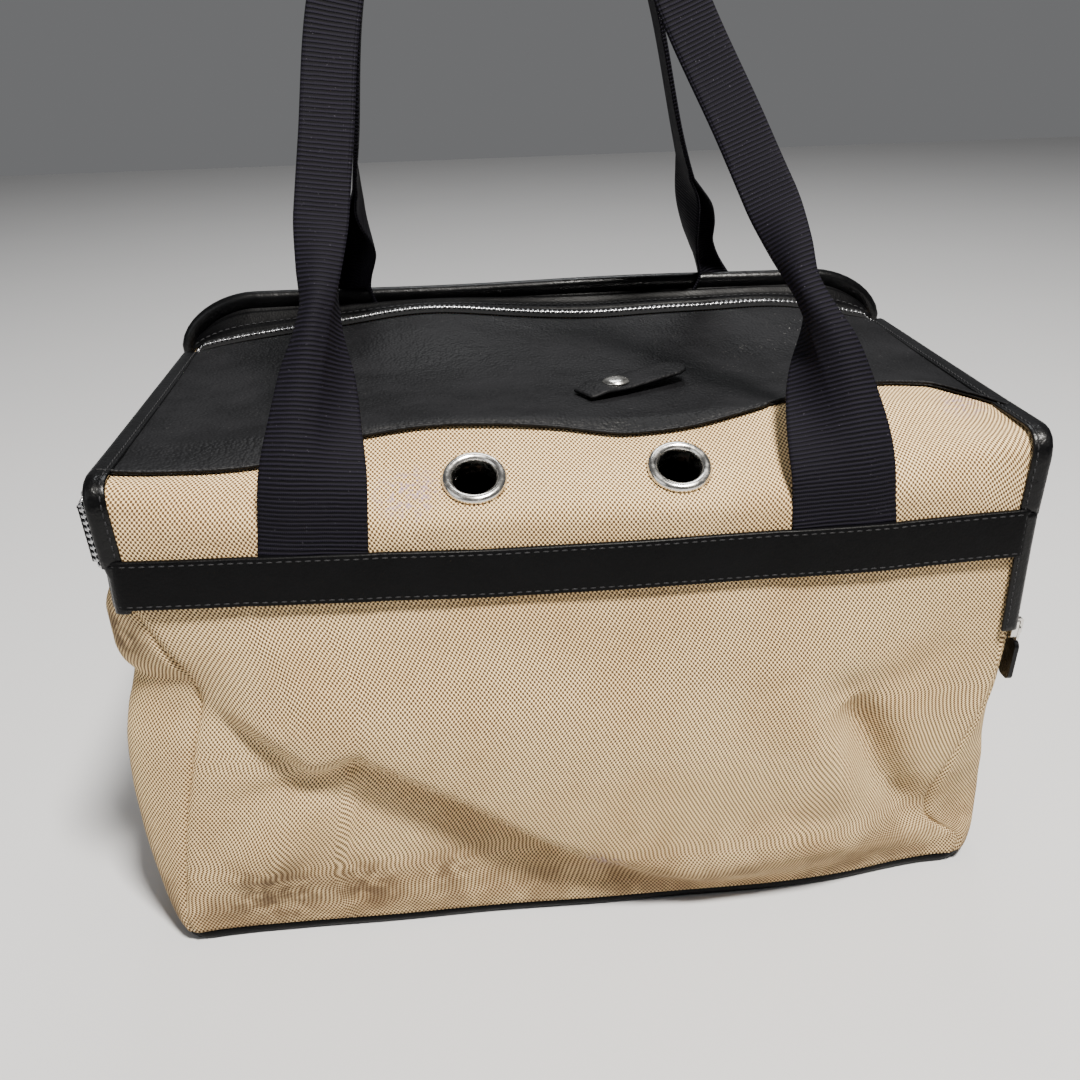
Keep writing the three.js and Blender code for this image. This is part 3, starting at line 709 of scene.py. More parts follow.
@dataclass(frozen=True)
class Metal:
    """Bright metal with worn, slightly cloudy patches and hairline scratches."""

    colour: tuple = (0.66, 0.64, 0.60)
    roughness: float = 0.16

    def build(self, name: str) -> bpy.types.Material:
        """Makes the metal material."""
        paint = Paint(name)
        cloudy = paint.noise(4.0, 4.0)
        rough = cloudy.rise(0.35, 0.7) * 0.16 + self.roughness
        colour = paint.tint(paint.noise(2.2, 3.0).rise(0.5, 0.8) * 0.35, self.colour,
                            tuple(c * 0.55 for c in self.colour))
        relief = paint.bump(paint.noise(0.8, 3.0), 0.015)
        return paint.done(colour, rough, relief, Metallic=1.0)


@dataclass(frozen=True)
class Board:
    """Pressed fibre board."""

    colour: tuple = (0.10, 0.075, 0.05)

    def build(self, name: str) -> bpy.types.Material:
        """Makes the board material."""
        paint = Paint(name)
        fibres = paint.noise(1.5, 6.0)
        colour = paint.tint(fibres.rise(0.35, 0.65), self.colour, (0.16, 0.12, 0.085))
        return paint.done(colour, 0.9, paint.bump(fibres, 0.2))


@dataclass(frozen=True)
class Studio:
    """The pale ground that the bag stands on."""

    colour: tuple = (0.50, 0.50, 0.505)

    def build(self, name: str) -> bpy.types.Material:
        """Makes the ground's material."""
        paint = Paint(name)
        colour = paint.tint(paint.noise(300.0, 2.0), self.colour, tuple(c * 0.96 for c in self.colour))
        return paint.done(colour, 0.85)


class Finish(Enum):
    """The bag's finishes: each has a recipe, and the record's slot it belongs to."""

    CANVAS = ("canvas", CanvasCloth())
    LEATHER = ("leather", Leather(dust=0.75, roughness=0.52, grain=1.7, grain_depth=0.36, wrinkle_depth=1.1))
    BAND = ("leather", Leather(colour=(0.0012, 0.0012, 0.0014), grain=1.2, grain_depth=0.09,
                               wrinkle=9.0, wrinkle_depth=0.35, roughness=0.42, shine=0.08))
    EDGING = ("edging", Leather(colour=(0.0012, 0.0012, 0.0014), grain=1.1, grain_depth=0.10,
                                wrinkle=5.0, wrinkle_depth=0.5, roughness=0.28, coat=0.10, shine=0.15))
    WEBBING = ("webbing", Webbing())
    TAPE = ("zip_tape", WovenCloth((0.003, 0.003, 0.0035)))
    TEETH = ("zip_teeth", Metal((0.50, 0.50, 0.51), 0.20))
    NICKEL = ("nickel", Metal())
    LINING = ("lining", WovenCloth((0.075, 0.042, 0.028), pitch=1.1))
    CUSHION = ("cushion", WovenCloth((0.13, 0.085, 0.06), pitch=1.6, depth=0.2))
    THREAD = ("edging", WovenCloth((0.018, 0.018, 0.020), pitch=0.5, depth=0.06, roughness=0.5))
    BOARD = ("board", Board())

    def material(self) -> bpy.types.Material:
        """The finish's material, made the first time it is asked for."""
        name = "finish_" + self.name.lower()
        return bpy.data.materials.get(name) or self.value[1].build(name)

    def put_on(self, *things: bpy.types.Object) -> None:
        """Gives pieces this finish alone."""
        for thing in things:
            thing.data.materials.clear()
            thing.data.materials.append(self.material())

    def put_on_node(self, *nodes: str) -> None:
        """Gives CAD nodes that stay in view this finish."""
        for node in nodes:
            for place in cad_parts[node].material_slots:
                place.material = self.material()


def settle(thing: bpy.types.Object, finish: Finish, body: str | tuple, *nodes: str) -> bpy.types.Object:
    """Dresses a finished piece and gives it its place in the frame.

    Args:
        thing: the piece.
        finish: its finish.
        body: the body it rides on, or two bodies and two points, which are not used; then the piece stays
            fixed in the frame on no body.
        nodes: the CAD nodes that it stands for.

    Returns:
        The same piece.
    """
    finish.put_on(thing)
    if isinstance(body, str):
        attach(thing, body)
    else:
        first, second, start, end = body
        [c * MM for c in start]
        [c * MM for c in end]
        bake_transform(thing)
    if nodes:
        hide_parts(*nodes)
    LOG.info("%s: %d faces", thing.name, len(thing.data.polygons))
    return thing


@dataclass(frozen=True)
class Stitching:
    """A row of machine stitches, each an arched length of thread."""

    spacing: float = 4.2
    length: float = 3.3
    radius: float = 0.42

    def row(self, name: str, path: Array, up: Array) -> bpy.types.Object:
        """Lays the stitches.

        Args:
            name: the piece's name.
            path: points along the row, on the leather's face.
            up: the direction out of the face at each point.

        Returns:
            One mesh of all the stitches.
        """
        path, up = resampled(path, self.spacing, up)
        ahead = tangents(path)
        middle = (path[1:] + path[:-1]) / 2
        along = unit(path[1:] - path[:-1])
        out = unit((up[1:] + up[:-1]) / 2)
        side = unit(np.cross(out, along))
        rings = []
        for t, size, lift in ((-1, 0.35, -0.5), (-0.72, 0.9, 0.15), (0, 1.05, 0.5), (0.72, 0.9, 0.15),
                              (1, 0.35, -0.5)):
            ring = [(t * self.length / 2, size * self.radius * math.cos(a),
                     (lift + size * math.sin(a)) * self.radius) for a in np.arange(6) * TURN / 6]
            rings.append(ring)
        shape, faces = loft(rings)
        return scatter(name, shape, faces, middle, np.stack((along, side, out), 1))


# ---- the bag's own form -----------------------------------------------------------


def box_mm(node: str) -> tuple[Array, Array]:
    """The lowest and highest corners of a CAD node, in millimetres."""
    low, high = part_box(node)
    return np.array(low) / MM, np.array(high) / MM


BAND_BOX = box_mm("band_front")
WALL_BOX = box_mm("front_panel")
BASE_HALF = 195.0  # half width at the floor
BAND_LOW = BAND_BOX[0][2]
BAND_TOP = BAND_BOX[1][2]
TOP_HALF = BAND_BOX[1][0]
DEPTH = -WALL_BOX[0][1]
SPLAY = (TOP_HALF / BASE_HALF - 1) / BAND_TOP
END_TOP = 250.0
LID_HALF = BASE_HALF - 0.1
LID_LOW = BAND_TOP + 0.6
SEAM_Y = -72.0
SEAM_TOP = 253.0
FRONT_BEND = 226.0
LID_BACK = 264.0
ZIP_Y = 99.0
LID_BACK_Y = 92.0
STRIP_Y = 106.0
RIM_TOP = 272.0
RIM_END = 248.0
RIM_CORNER = 36.0


def splayed(x: Array, z: Array) -> Array:
    """Where a place across the bag comes to at a height, as the ends lean outwards."""
    return x * (1 + SPLAY * z)


class LidForm:
    """The lid's surface: canvas up the front, then leather back to the zip."""

    seam = Line((-212, -106), (-180, -101), (-145, -94), (-105, -79), (-60, -75), (-10, -78),
                (38, -83), (86, -75), (128, -60), (165, -47), (184, -48), (199, -64), (209, -82))

    def __init__(self, cols: int = 150) -> None:
        """Tabulates the surface over a number of columns across."""
        angle = np.linspace(-1, 1, cols) * math.pi / 2 * 0.92
        self.flat_x = LID_HALF * np.sin(angle) / math.sin(math.pi * 0.46)
        self.u = np.linspace(-0.14, 2, 520)
        y, z = self.profile(self.flat_x[None, :], self.u[:, None])
        x = splayed(self.flat_x[None, :], z)
        self.table = stack(x, y, z)
        step = np.linalg.norm(np.diff(self.table[..., 1:], axis=0), axis=-1)
        self.run = np.vstack((np.zeros((1, cols)), np.cumsum(step, 0)))
        wanted = self.seam(self.table[300, :, 0])
        self.seam_run = np.array([np.interp(wanted[c], y[:, c], self.run[:, c]) for c in range(cols)])
        self.foot_run = np.array([np.interp(0, self.u, self.run[:, c]) for c in range(cols)])

    @staticmethod
    def middle(x: Array) -> Array:
        """0 at the lid's boxy ends and 1 at its middle."""
        return 1 - np.abs(x / BASE_HALF) ** 4

    @staticmethod
    def bent(start: tuple, bend: tuple, finish: tuple, reach: float, t: Array) -> tuple[Array, Array]:
        """A line that turns at a rounded bend.

        Args:
            start: its first (y, z) point.
            bend: the corner that is rounded off.
            finish: its last point.
            reach: how far the rounding goes on each side of the corner.
            t: the share of the line's length.

        Returns:
            y and z at t.
        """
        start, bend, finish = (np.array(p, float) for p in (start, bend, finish))
        first, second = np.linalg.norm(bend - start), np.linalg.norm(finish - bend)
        into, out = mix(bend, start, reach / first), mix(bend, finish, reach / second)
        curved = 1.85 * reach
        run = t * (first + second - 2 * reach + curved)
        k1 = run / (first - reach)
        k2 = (run - first + reach) / curved
        k3 = (run - first + reach - curved) / (second - reach)
        result = []
        for i in range(2):
            corner = mix(mix(into[i], bend[i], k2), mix(bend[i], out[i], k2), k2)
            late = np.where(k2 < 1, corner, mix(out[i], finish[i], k3))
            result.append(np.where(k1 < 1, mix(start[i], into[i], k1), late))
        return result[0], result[1]

    @classmethod
    def top(cls, x: Array, y: Array) -> Array:
        """Height of the lid's top, and of the strips behind it."""
        along = (y - SEAM_Y) / (ZIP_Y - SEAM_Y)
        sag = np.where(along < 1, 3 * np.sin(math.pi * along), 0)
        at_middle = mix(SEAM_TOP, LID_BACK, along) - sag
        at_end = mix(END_TOP, END_TOP + 1.5, along)
        rise = 6 * hump(x, -62, 44) + 3 * hump(x, 135, 34) - 1.5 * hump(x, 30, 30)
        lift = rise * ease(y, 10, 88) * (1 - ease(y, 104, 117))
        return mix(at_end, at_middle, cls.middle(x)) + lift

    @classmethod
    def profile(cls, x: Array, u: Array) -> tuple[Array, Array]:
        """y and z of the lid at x: u from 0 to 1 goes up to the seam line, 1 to 2 back to the zip."""
        low = (-DEPTH, LID_LOW)
        ends = cls.bent(low, (-DEPTH, END_TOP), (SEAM_Y, END_TOP), 12, u)
        centre = cls.bent(low, (-DEPTH, FRONT_BEND), (SEAM_Y, SEAM_TOP), 8, u)
        share = cls.middle(x)
        y = mix(SEAM_Y, LID_BACK_Y, u - 1)
        front = [mix(e, m, share) for e, m in zip(ends, centre)]
        return np.where(u <= 1, front[0], y), np.where(u <= 1, front[1], cls.top(x, y))

    @staticmethod
    def dents(p: Array) -> Array:
        """How far the soft lid stands out of its even form at points."""
        x, y = p[..., 0], p[..., 1]
        out = -3.2 * hump(x, 22, 34) * hump(y, -78, 24)
        out += 2.2 * hump(x, -70, 42) * hump(y, -70, 26)
        out += 2.4 * hump(x, 112, 46) * hump(y, -62, 34)
        out -= 2.6 * hump(x, -150, 40) * hump(y, -20, 46)
        out -= 2.4 * hump(x, 118, 34) * hump(y, 20, 36)
        out += 1.4 * np.sin(x / 31 + y / 47) * np.sin(y / 29 - x / 90 + 1)
        within = 1 - ease(np.abs(x), 178, 205)
        return out * within * (1 - ease(y, 66, 90)) * ease(p[..., 2], 217, 232)

    def grid(self, runs: Array, raised: Array | float = 0.0) -> Array:
        """Points of the lid's face.

        Args:
            runs: rows of distances up each column, from the table's own start.
            raised: how far the points stand off the face, for each row.

        Returns:
            A grid of points, with the dents in it.
        """
        points = np.empty((*runs.shape, 3))
        for c in range(runs.shape[1]):
            for k in range(3):
                points[:, c, k] = np.interp(runs[:, c], self.run[:, c], self.table[:, c, k])
        out = -normals(points)
        out *= np.sign(out[len(out) // 2, len(out[0]) // 2, 2])
        points += out * self.dents(points)[..., None]
        points = Eyelets.flatten(points)
        return points + out * raised


class Eyelets:
    """The two air holes in the lid's canvas, with their rings and washers."""

    hole = 10.0
    outer = 15.0
    normal = np.array((0.0, -0.482, 0.876))

    @classmethod
    def places(cls) -> list:
        """The middle of each eyelet on the canvas's face."""
        return [np.array((side * 46.97, -102.3, 236.35)) for side in (-1, 1)]

    @classmethod
    def flatten(cls, points: Array) -> Array:
        """Presses a grid flat where the rings clamp it."""
        for place in cls.places():
            away = points - place
            out = away @ cls.normal
            far = np.linalg.norm(away - out[..., None] * cls.normal, axis=-1)
            held = (1 - ease(far, 16.5, 36)) * (np.abs(out) < 30)
            points = points - (out * held)[..., None] * cls.normal
        return points

    def build(self) -> None:
        """Makes the rings and washers."""
        axes = np.array(((1.0, 0.0, 0.0), np.cross(self.normal, (1.0, 0.0, 0.0)), self.normal))
        barrel = self.hole + 1.2
        ring = [(self.hole, -7.0), (barrel, -7.0), (barrel, 0.3), (self.outer, 0.3)]
        dome = [(self.outer - (self.outer - self.hole) * (1 - math.cos(a)) / 2,
                 0.5 + 2.5 * math.sin(a)) for a in np.linspace(0.25, math.pi - 0.55, 14)]
        lip = [(self.hole, 0.8)]
        washer = [(barrel + 0.3, -7.0), (self.outer, -7.0), (self.outer, -6.2), (barrel + 0.3, -6.2)]
        for side, place in zip(("left", "right"), self.places()):
            made = set_down(lathe(f"air_ring_{side}", ring + dome + lip, 96), place, axes)
            settle(made, Finish.NICKEL, "lid", f"eyelet_{side}")
            back = set_down(lathe(f"air_ring_back_{side}", washer, 64), place, axes)
            settle(back, Finish.NICKEL, "lid", f"eyelet_washer_{side}")


@dataclass
class Lid:
    """The hinged lid: canvas front, leather top, bindings at its ends and a lining."""

    form: LidForm = field(default_factory=LidForm)
    canvas_thick: float = 1.9
    leather_thick: float = 1.9
    stitch_inset: float = 2.4

    def build(self) -> None:
        """Makes every piece of the lid."""
        self.canvas()
        self.leather()
        self.lining()
        for side in (-1, 1):
            self.binding(side)

    def canvas(self) -> None:
        """The canvas, from behind the band to under the leather's edge."""
        f = self.form
        share = np.linspace(0, 1, 64)[:, None]
        runs = mix(np.zeros_like(f.seam_run), f.seam_run + 5.0, share)
        sunk = -0.4 - 0.5 * ease(runs - f.seam_run[None], -3, 0)
        points = f.grid(runs, sunk[..., None])
        thing = sheet("lid_front_canvas", points, self.canvas_thick, self.facing(points))
        for place in Eyelets.places():
            cut_hole(thing, place, Eyelets.normal, Eyelets.hole + 1.4)
        foot = (0.0, -DEPTH, BAND_TOP - 2.5)
        over = (0.0, -DEPTH, BAND_TOP + 6.0)
        settle(thing, Finish.CANVAS, ("root", "lid", foot, over), "lid_canvas")

    def leather(self) -> None:
        """The leather top with its turned and stitched front edge."""
        f = self.form
        near = np.array((0, 0.4, 0.9, 1.5, 2.1, 2.7, 3.4, 4.4, 6, 8.5))
        left = f.run[-1] - f.seam_run - near[-1]
        share = np.linspace(0, 1, 66)[1:, None]
        runs = np.vstack([f.seam_run[None] + d for d in near] + [f.seam_run + near[-1] + left * share])
        away = runs - f.seam_run[None]
        raised = 1.5 * hump(away, 0.9, 1.2) + 0.9 * (1 - ease(away, 4, 24))
        raised = raised - 0.5 * hump(away, self.stitch_inset, 0.5)
        raised = raised * (1 - 0.5 * ease(away, f.run[-1] - f.seam_run - 6, f.run[-1] - f.seam_run))
        points = f.grid(runs, raised[..., None])
        thing = sheet("lid_top_leather", points, self.leather_thick, self.facing(points))
        settle(thing, Finish.LEATHER, "lid", "lid_leather")
        row = np.argmin(np.abs(near - self.stitch_inset))
        inside = np.abs(points[row, :, 0]) < 203
        out = normals(points)[row] * self.facing(points)
        stitches = Stitching().row("lid_seam_stitches", points[row][inside] + out[inside] * 0.1, out[inside])
        settle(stitches, Finish.THREAD, "lid")

    @staticmethod
    def facing(points: Array) -> float:
        """1 where a lid grid's normals point up, or -1."""
        return float(np.sign(normals(points)[len(points) // 2, points.shape[1] // 2, 2]))

    def lining(self) -> None:
        """The thin lining under the whole lid."""
        f = self.form
        share = np.linspace(0, 1, 70)[:, None]
        runs = mix(f.foot_run + 1.5, f.run[-1] - 1.0, share)
        points = f.grid(runs, -4.2)
        thing = sheet("lid_under_lining", points, 0.9, self.facing(points))
        for place in Eyelets.places():
            cut_hole(thing, place, Eyelets.normal, Eyelets.hole + 2.2)
        settle(thing, Finish.LINING, "lid", "lid_lining")

    def binding(self, side: int) -> None:
        """The glossy leather folded over one end of the lid, with its stitches."""
        u = np.linspace(0, 2, 90)
        y, z = LidForm.profile(np.full_like(u, side * LID_HALF), u)
        path = stack(splayed(np.full_like(u, side * LID_HALF), z), y, z)
        path, = resampled(path, 4.0)
        ahead = tangents(path)
        out = np.tile((float(side), 0.0, 0.0), (len(path), 1))
        up = unit(np.cross(ahead, out)) * side
        up *= np.sign(up[len(up) // 2, 2])
        section = [(-6.6, -0.3), (-6.8, 0.6), (-6.2, 1.3), (-4.6, 1.1), (-2.5, 1.7), (0.4, 1.9),
                   (2.2, 1.2), (3.0, -0.4), (3.1, -2.0), (2.9, -3.4), (1.9, -3.7), (0.7, -3.6), (0.5, -0.6)]
        name = "left" if side < 0 else "right"
        thing = sweep(f"lid_binding_{name}", path, out, up, section)
        settle(thing, Finish.EDGING, "lid", f"lid_edge_{name}")
        row = path + out * -4.6 + up * 1.15
        settle(Stitching(3.8, 2.9).row(f"lid_binding_stitches_{name}", row, up), Finish.THREAD, "lid")


# ---- body -------------------------------------------------------------------------


@dataclass(frozen=True)
class Fold:
    """A crease or a ridge pressed into the canvas along a line on the front.

    Attributes:
        line: (x, z) points that it runs through.
        depth: how far it stands out, or below zero how deep it is pressed.
        width: its half width.
        step: how much further out the cloth stands above the line than below it.
        reach: how far from the line the step dies away.
    """

    line: tuple
    depth: float
    width: float
    step: float = 0.0
    reach: float = 30.0

    def relief(self, x: Array, z: Array) -> Array:
        """How far the canvas stands out at places on the front."""
        best = np.full(np.shape(x), 1e9)
        side = np.zeros(np.shape(x))
        along = np.zeros(np.shape(x))
        points = np.array(self.line, float)
        spans = len(points) - 1
        for i in range(spans):
            a, b = points[i], points[i + 1]
            d = b - a
            raw = ((x - a[0]) * d[0] + (z - a[1]) * d[1]) / (d @ d)
            t = np.clip(raw, 0, 1)
            dx, dz = x - a[0] - t * d[0], z - a[1] - t * d[1]
            far = np.hypot(dx, dz)
            nearer = far < best
            best = np.where(nearer, far, best)
            turn = np.sign(d[0]) * (dz * d[0] - dx * d[1]) / np.linalg.norm(d)
            side = np.where(nearer, turn, side)
            along = np.where(nearer, (i + t) / spans, along)
        taper = np.sin(math.pi * np.clip(along, 0.04, 0.96)) ** 0.6
        out = self.depth * np.exp(-((best / self.width) ** 2))
        if self.step:
            fade = np.exp(-((best / self.reach) ** 2)) / 2
            out = out + self.step * np.tanh(side / (self.width * 0.6)) * fade
        return out * taper


class Wall(Enum):
    """The four canvas walls."""

    FRONT = "front"
    RIGHT = "right"
    BACK = "back"
    LEFT = "left"


@dataclass
class Body:
    """The soft canvas body: four walls that sag on a stiff base, and what lines them."""

    canvas_thick: float = 2.2
    low: float = 7.0
    left_seam = Line((0, -197), (5, -202), (16, -205), (36, -203), (75, -197), (111, -188.5), (136, -182.5),
                     (146, -184), (166, -193.5), (191, -203), (212, -208.5))
    right_seam = Line((0, 196), (5, 202), (16, 204), (34, 184), (43, 183), (66, 188.5), (99, 200),
                      (123, 206), (150, 208), (191, 208.5), (212, 209))
    left_seam_y = Line((0, -124), (6, -127), (36, -124.5), (75, -121), (111, -118.5), (138, -114),
                       (166, -118), (191, -120.4), (212, -120.5))
    right_seam_y = Line((0, -108), (6, -112), (35, -110), (66, -116), (99, -119), (150, -120.2),
                        (212, -120.5))
    base_front = Line((-205, -127), (-150, -130), (50, -130), (131, -127), (175, -120), (205, -112))
    left_belly = Line((0, 207), (8, 213), (35, 220), (63, 223.5), (85, 224.5), (109, 224), (128, 222),
                      (142, 219), (150, 217.5), (165, 220), (183, 220), (200, 214), (212, 210), (240, 211))
    right_belly = Line((0, 211), (8, 216), (30, 219), (60, 216), (83, 212), (105, 210.5), (140, 210),
                       (190, 211), (212, 209.6), (240, 211))
    folds = (
        Fold(((-188, 140), (-158, 121), (-128, 99)), -4.0, 7.0, 17.0, 36.0),
        Fold(((-130, 94), (-150, 62), (-172, 42), (-194, 33)), 9.0, 14.0),
        Fold(((-140, 98), (-112, 107), (-64, 79), (-32, 56), (-6, 41), (46, 18)), -6.0, 8.0, 25.0, 46.0),
        Fold(((128, 120), (137, 103), (154, 67), (172, 42)), -15.0, 12.0),
        Fold(((160, 62), (168, 50), (182, 36)), -7.0, 9.0),
        Fold(((40, 33), (110, 37), (176, 33)), 6.5, 12.0),
        Fold(((96, 136), (122, 84), (112, 52)), 4.5, 20.0),
        Fold(((-80, 160), (20, 104), (90, 72)), 3.0, 34.0),
        Fold(((-196, 60), (-160, 20), (-90, 24)), -3.0, 12.0),
        Fold(((186, 150), (160, 128), (120, 122)), -2.5, 10.0),
    )
    back_folds = (
        Fold(((-160, 50), (-90, 92), (-20, 110), (70, 104)), -3.0, 8.0, 9.0, 34.0),
        Fold(((176, 132), (132, 84), (112, 48)), -6.0, 12.0),
        Fold(((-176, 156), (-150, 120), (-146, 88)), -5.0, 11.0),
        Fold(((-130, 32), (0, 37), (150, 32)), 5.0, 13.0),
        Fold(((20, 160), (60, 136), (110, 140)), 3.0, 16.0),
    )
    end_folds = (
        Fold(((-112, 145), (-60, 128), (20, 122)), -2.0, 6.0, 5.0, 26.0),
        Fold(((92, 56), (62, 96), (48, 150)), -5.0, 12.0),
        Fold(((-84, 38), (0, 34), (84, 38)), 4.0, 13.0),
        Fold(((-30, 96), (10, 70), (50, 62)), 3.0, 14.0),
    )

    def front_point(self, share: Array, z: Array) -> Array:
        """Points of the front canvas: share runs from the left seam to the right one."""
        x = mix(self.left_seam(z), self.right_seam(z), share)
        edge = mix(self.left_seam_y(z), self.right_seam_y(z), ease(share, 0, 1))
        inside = 1 - np.abs(2 * share - 1) ** 7
        body = mix(self.base_front(x) + 1.5, -DEPTH + 0.6, ease(z, 20, 186))
        body = body - 6.0 * np.sin(math.pi * np.clip((z - 10) / 176, 0, 1)) * (1 - ease(np.abs(x), 120, 205))
        body = body + 5.0 * (1 - ease(z, 6, 27))
        out = sum(fold.relief(x, z) for fold in self.folds) * ease(z, 8, 24)
        out = out + 0.7 * np.sin(x / 23 + z / 31) * np.sin(z / 19 - x / 57)
        quiet = 1 - ease(z, 168, 184)
        y = mix(edge, body - out * quiet, inside)
        over = np.maximum(-131.0 - y, 0)
        return stack(x, y + over - 7.5 * np.tanh(over / 7.5), z)

    def back_point(self, share: Array, z: Array) -> Array:
        """Points of the back canvas: share runs from the left to the right, seen from the front."""
        half = splayed(np.full_like(z, BASE_HALF), z) - 5.0 * hump(z, 120, 34) - 3.0 * hump(z, 40, 22)
        x = mix(-half, half, share)
        sag = 8.0 * np.sin(math.pi * np.clip((z - 6) / 180, 0, 1)) * (1 - ease(np.abs(x), 110, 200))
        foot = 7.0 * (1 - ease(z, 12, 90)) * (1 - ease(np.abs(x), 150, 205)) - 4.0 * (1 - ease(z, 3, 14))
        out = sag + foot
        out = out + sum(fold.relief(x, z) for fold in self.back_folds) * ease(z, 8, 24)
        out = out + 0.8 * np.sin(x / 27 - z / 23) * np.sin(z / 21 + x / 61)
        quiet = 1 - ease(z, 168, 184)
        inside = 1 - np.abs(2 * share - 1) ** 7
        return stack(x, DEPTH - 0.6 - 1.5 * (1 - inside) + out * quiet * inside, z)

    def end_point(self, side: int, share: Array, z: Array) -> Array:
        """Points of an end panel: share runs from the front seam to the back one."""
        zero = np.zeros_like(share * z)
        first = self.front_point(zero if side < 0 else zero + 1, z + zero)
        last = self.back_point(zero if side < 0 else zero + 1, z + zero)
        tucked = ease(z, 203, 213)
        y = mix(mix(first[..., 1], -106.5, tucked), last[..., 1], share)
        belly = (self.left_belly if side < 0 else self.right_belly)(z)
        steady = 2.5 * hump(z, 95, 60) * np.sin(math.pi * share)
        full = belly + steady + sum(fold.relief(y, z) for fold in self.end_folds) * (1 - ease(z, 168, 186))
        front_round = 1 - (1 - np.clip(share / 0.085, 0, 1)) ** 2.2
        back_round = 1 - (1 - np.clip((1 - share) / 0.10, 0, 1)) ** 2.4
        x = mix(np.abs(first[..., 0]), full, front_round)
        x = mix(np.abs(last[..., 0]), x, back_round)
        if side < 0:
            x = x - 5.0 * hump(z + 30 * share, 148, 5.5) * hump(share, 0.04, 0.10)
        top = splayed(np.full_like(x, BASE_HALF - 0.2), z)
        x = mix(x, top, ease(z, 206, 219))
        return stack(side * x, y, z + zero)

    def wall(self, wall: Wall) -> None:
        """Makes one canvas wall."""
        share = np.linspace(0, 1, 140)[None, :]
        if wall is Wall.FRONT:
            points = self.front_point(share, np.linspace(self.low, BAND_TOP - 1, 92)[:, None])
            flat, node = (0.41, 0.225), "front_panel"
        elif wall is Wall.BACK:
            top = rim_height(share * 2 * BASE_HALF - BASE_HALF)
            rows = np.linspace(0, 1, 112)[:, None]
            points = self.back_point(share, mix(self.low, top - 3.5, rows))
            flat, node = (0.41, 0.27), "back_panel"
        else:
            side = -1 if wall is Wall.LEFT else 1
            share = np.linspace(0, 1, 96)[None, :]
            share = mix(share, 0.5 - 0.5 * np.cos(math.pi * share), 0.6)
            y = mix(-DEPTH, DEPTH, share)
            top = 236.8 + 12.0 * ease(y, 86, 101)
            rows = np.linspace(0, 1, 104)[:, None]
            points = self.end_point(side, share, mix(self.low, top, rows))
            flat, node = (0.27, 0.24), f"end_panel_{wall.value}"
        out = normals(points)
        outward = {Wall.FRONT: (0, -1, 0), Wall.BACK: (0, 1, 0),
                   Wall.LEFT: (-1, 0, 0), Wall.RIGHT: (1, 0, 0)}
        facing = np.sign(np.sum(out[40, 40] * outward[wall]))
        run = run_length(points, 1)
        near = np.minimum(run - run[:, :1], run[:, -1:] - run)
        points = points - (out * facing) * (2.1 * (1 - ease(near, 0, 3.6)))[..., None]
        thing = sheet(f"canvas_{wall.value}", points, self.canvas_thick, facing)
        settle(thing, Finish.CANVAS, "root", node)

    def around(self, z: Array, inset: float) -> Array:
        """Points all round the walls at heights, a distance inside the canvas's face."""
        share = np.linspace(0, 1, 90)[None, :-1]
        short = np.linspace(0, 1, 56)[None, :-1]
        loop = np.concatenate((
            self.front_point(share, z), self.end_point(1, short, z),
            self.back_point(1 - share, z), self.end_point(-1, 1 - short, z)), axis=1)
        wide = np.concatenate((loop[:, -4:], loop, loop[:, :4]), axis=1)
        out = normals(wide)[:, 4:-4]
        outward = np.sign(np.sum(out[len(out) // 2, 40] * (0, -1, 0)))
        soft = loop - out * outward * inset
        for _ in range(3):
            soft = (np.roll(soft, 1, 1) + 2 * soft + np.roll(soft, -1, 1)) / 4
        return soft

    def lining(self) -> None:
        """The lining: a sleeve inside the walls and a floor over the board."""
        z = np.linspace(13.5, BAND_TOP - 4, 60)[:, None]
        loop = self.around(z, 5.6)
        centre = loop[:1].mean(axis=1, keepdims=True)
        floor = [mix(centre, loop[:1], share) * (1, 1, 0) + (0, 0, 12.0) for share in (0.02, 0.4, 0.8, 0.97)]
        points = np.concatenate((*floor, loop), axis=0)
        thing = sheet("cabin_lining", points, 1.0, self.inward(points), ring=True)
        settle(thing, Finish.LINING, "root", "lining")

    @staticmethod
    def inward(points: Array) -> float:
        """1 where a sleeve's normals point outwards, or -1."""
        return float(np.sign(normals(points)[-10, 40] @ np.array((0, -1, 0))))

    def base(self) -> None:
        """The leather skin of the base, drawn up round its edge."""
        loop = self.around(np.array([[7.5], [8.0], [8.5]]), 1.0)[1]
        rings = []
        for inset, z in ((6.0, 0.0), (3.0, 0.3), (1.4, 1.3), (0.6, 3.0), (0.5, 5.0), (1.2, 6.2), (5.0, 6.6)):
            shrink = 1 - inset / np.maximum(np.linalg.norm(loop[:, :2], axis=1, keepdims=True), 1)
            ring = loop * (1, 1, 0)
            ring[:, :2] *= shrink
            rings.append(ring + (0, 0, z))
        points, faces = loft(rings)
        settle(make_mesh("base_skin", points, faces), Finish.BAND, "root", "base_panel")

    def board(self) -> None:
        """The stiff board that lies on the base, inside the canvas."""
        loop = self.around(np.array([[9.0], [9.5], [10.0]]), 6.5)[1]
        rings = []
        for inset, z in ((1.0, 8.1), (0.0, 8.5), (0.0, 10.8), (1.0, 11.3)):
            ring = loop * (1, 1, 0)
            ring[:, :2] *= 1 - inset / np.maximum(np.linalg.norm(loop[:, :2], axis=1, keepdims=True), 1)
            rings.append(ring + (0, 0, z))
        points, faces = loft(rings)
        settle(make_mesh("floor_board", points, faces), Finish.BOARD, "root", "base_board")

    def build(self) -> None:
        """Makes every piece of the body."""
        for wall in Wall:
            self.wall(wall)
        self.lining()
        self.base()
        self.board()


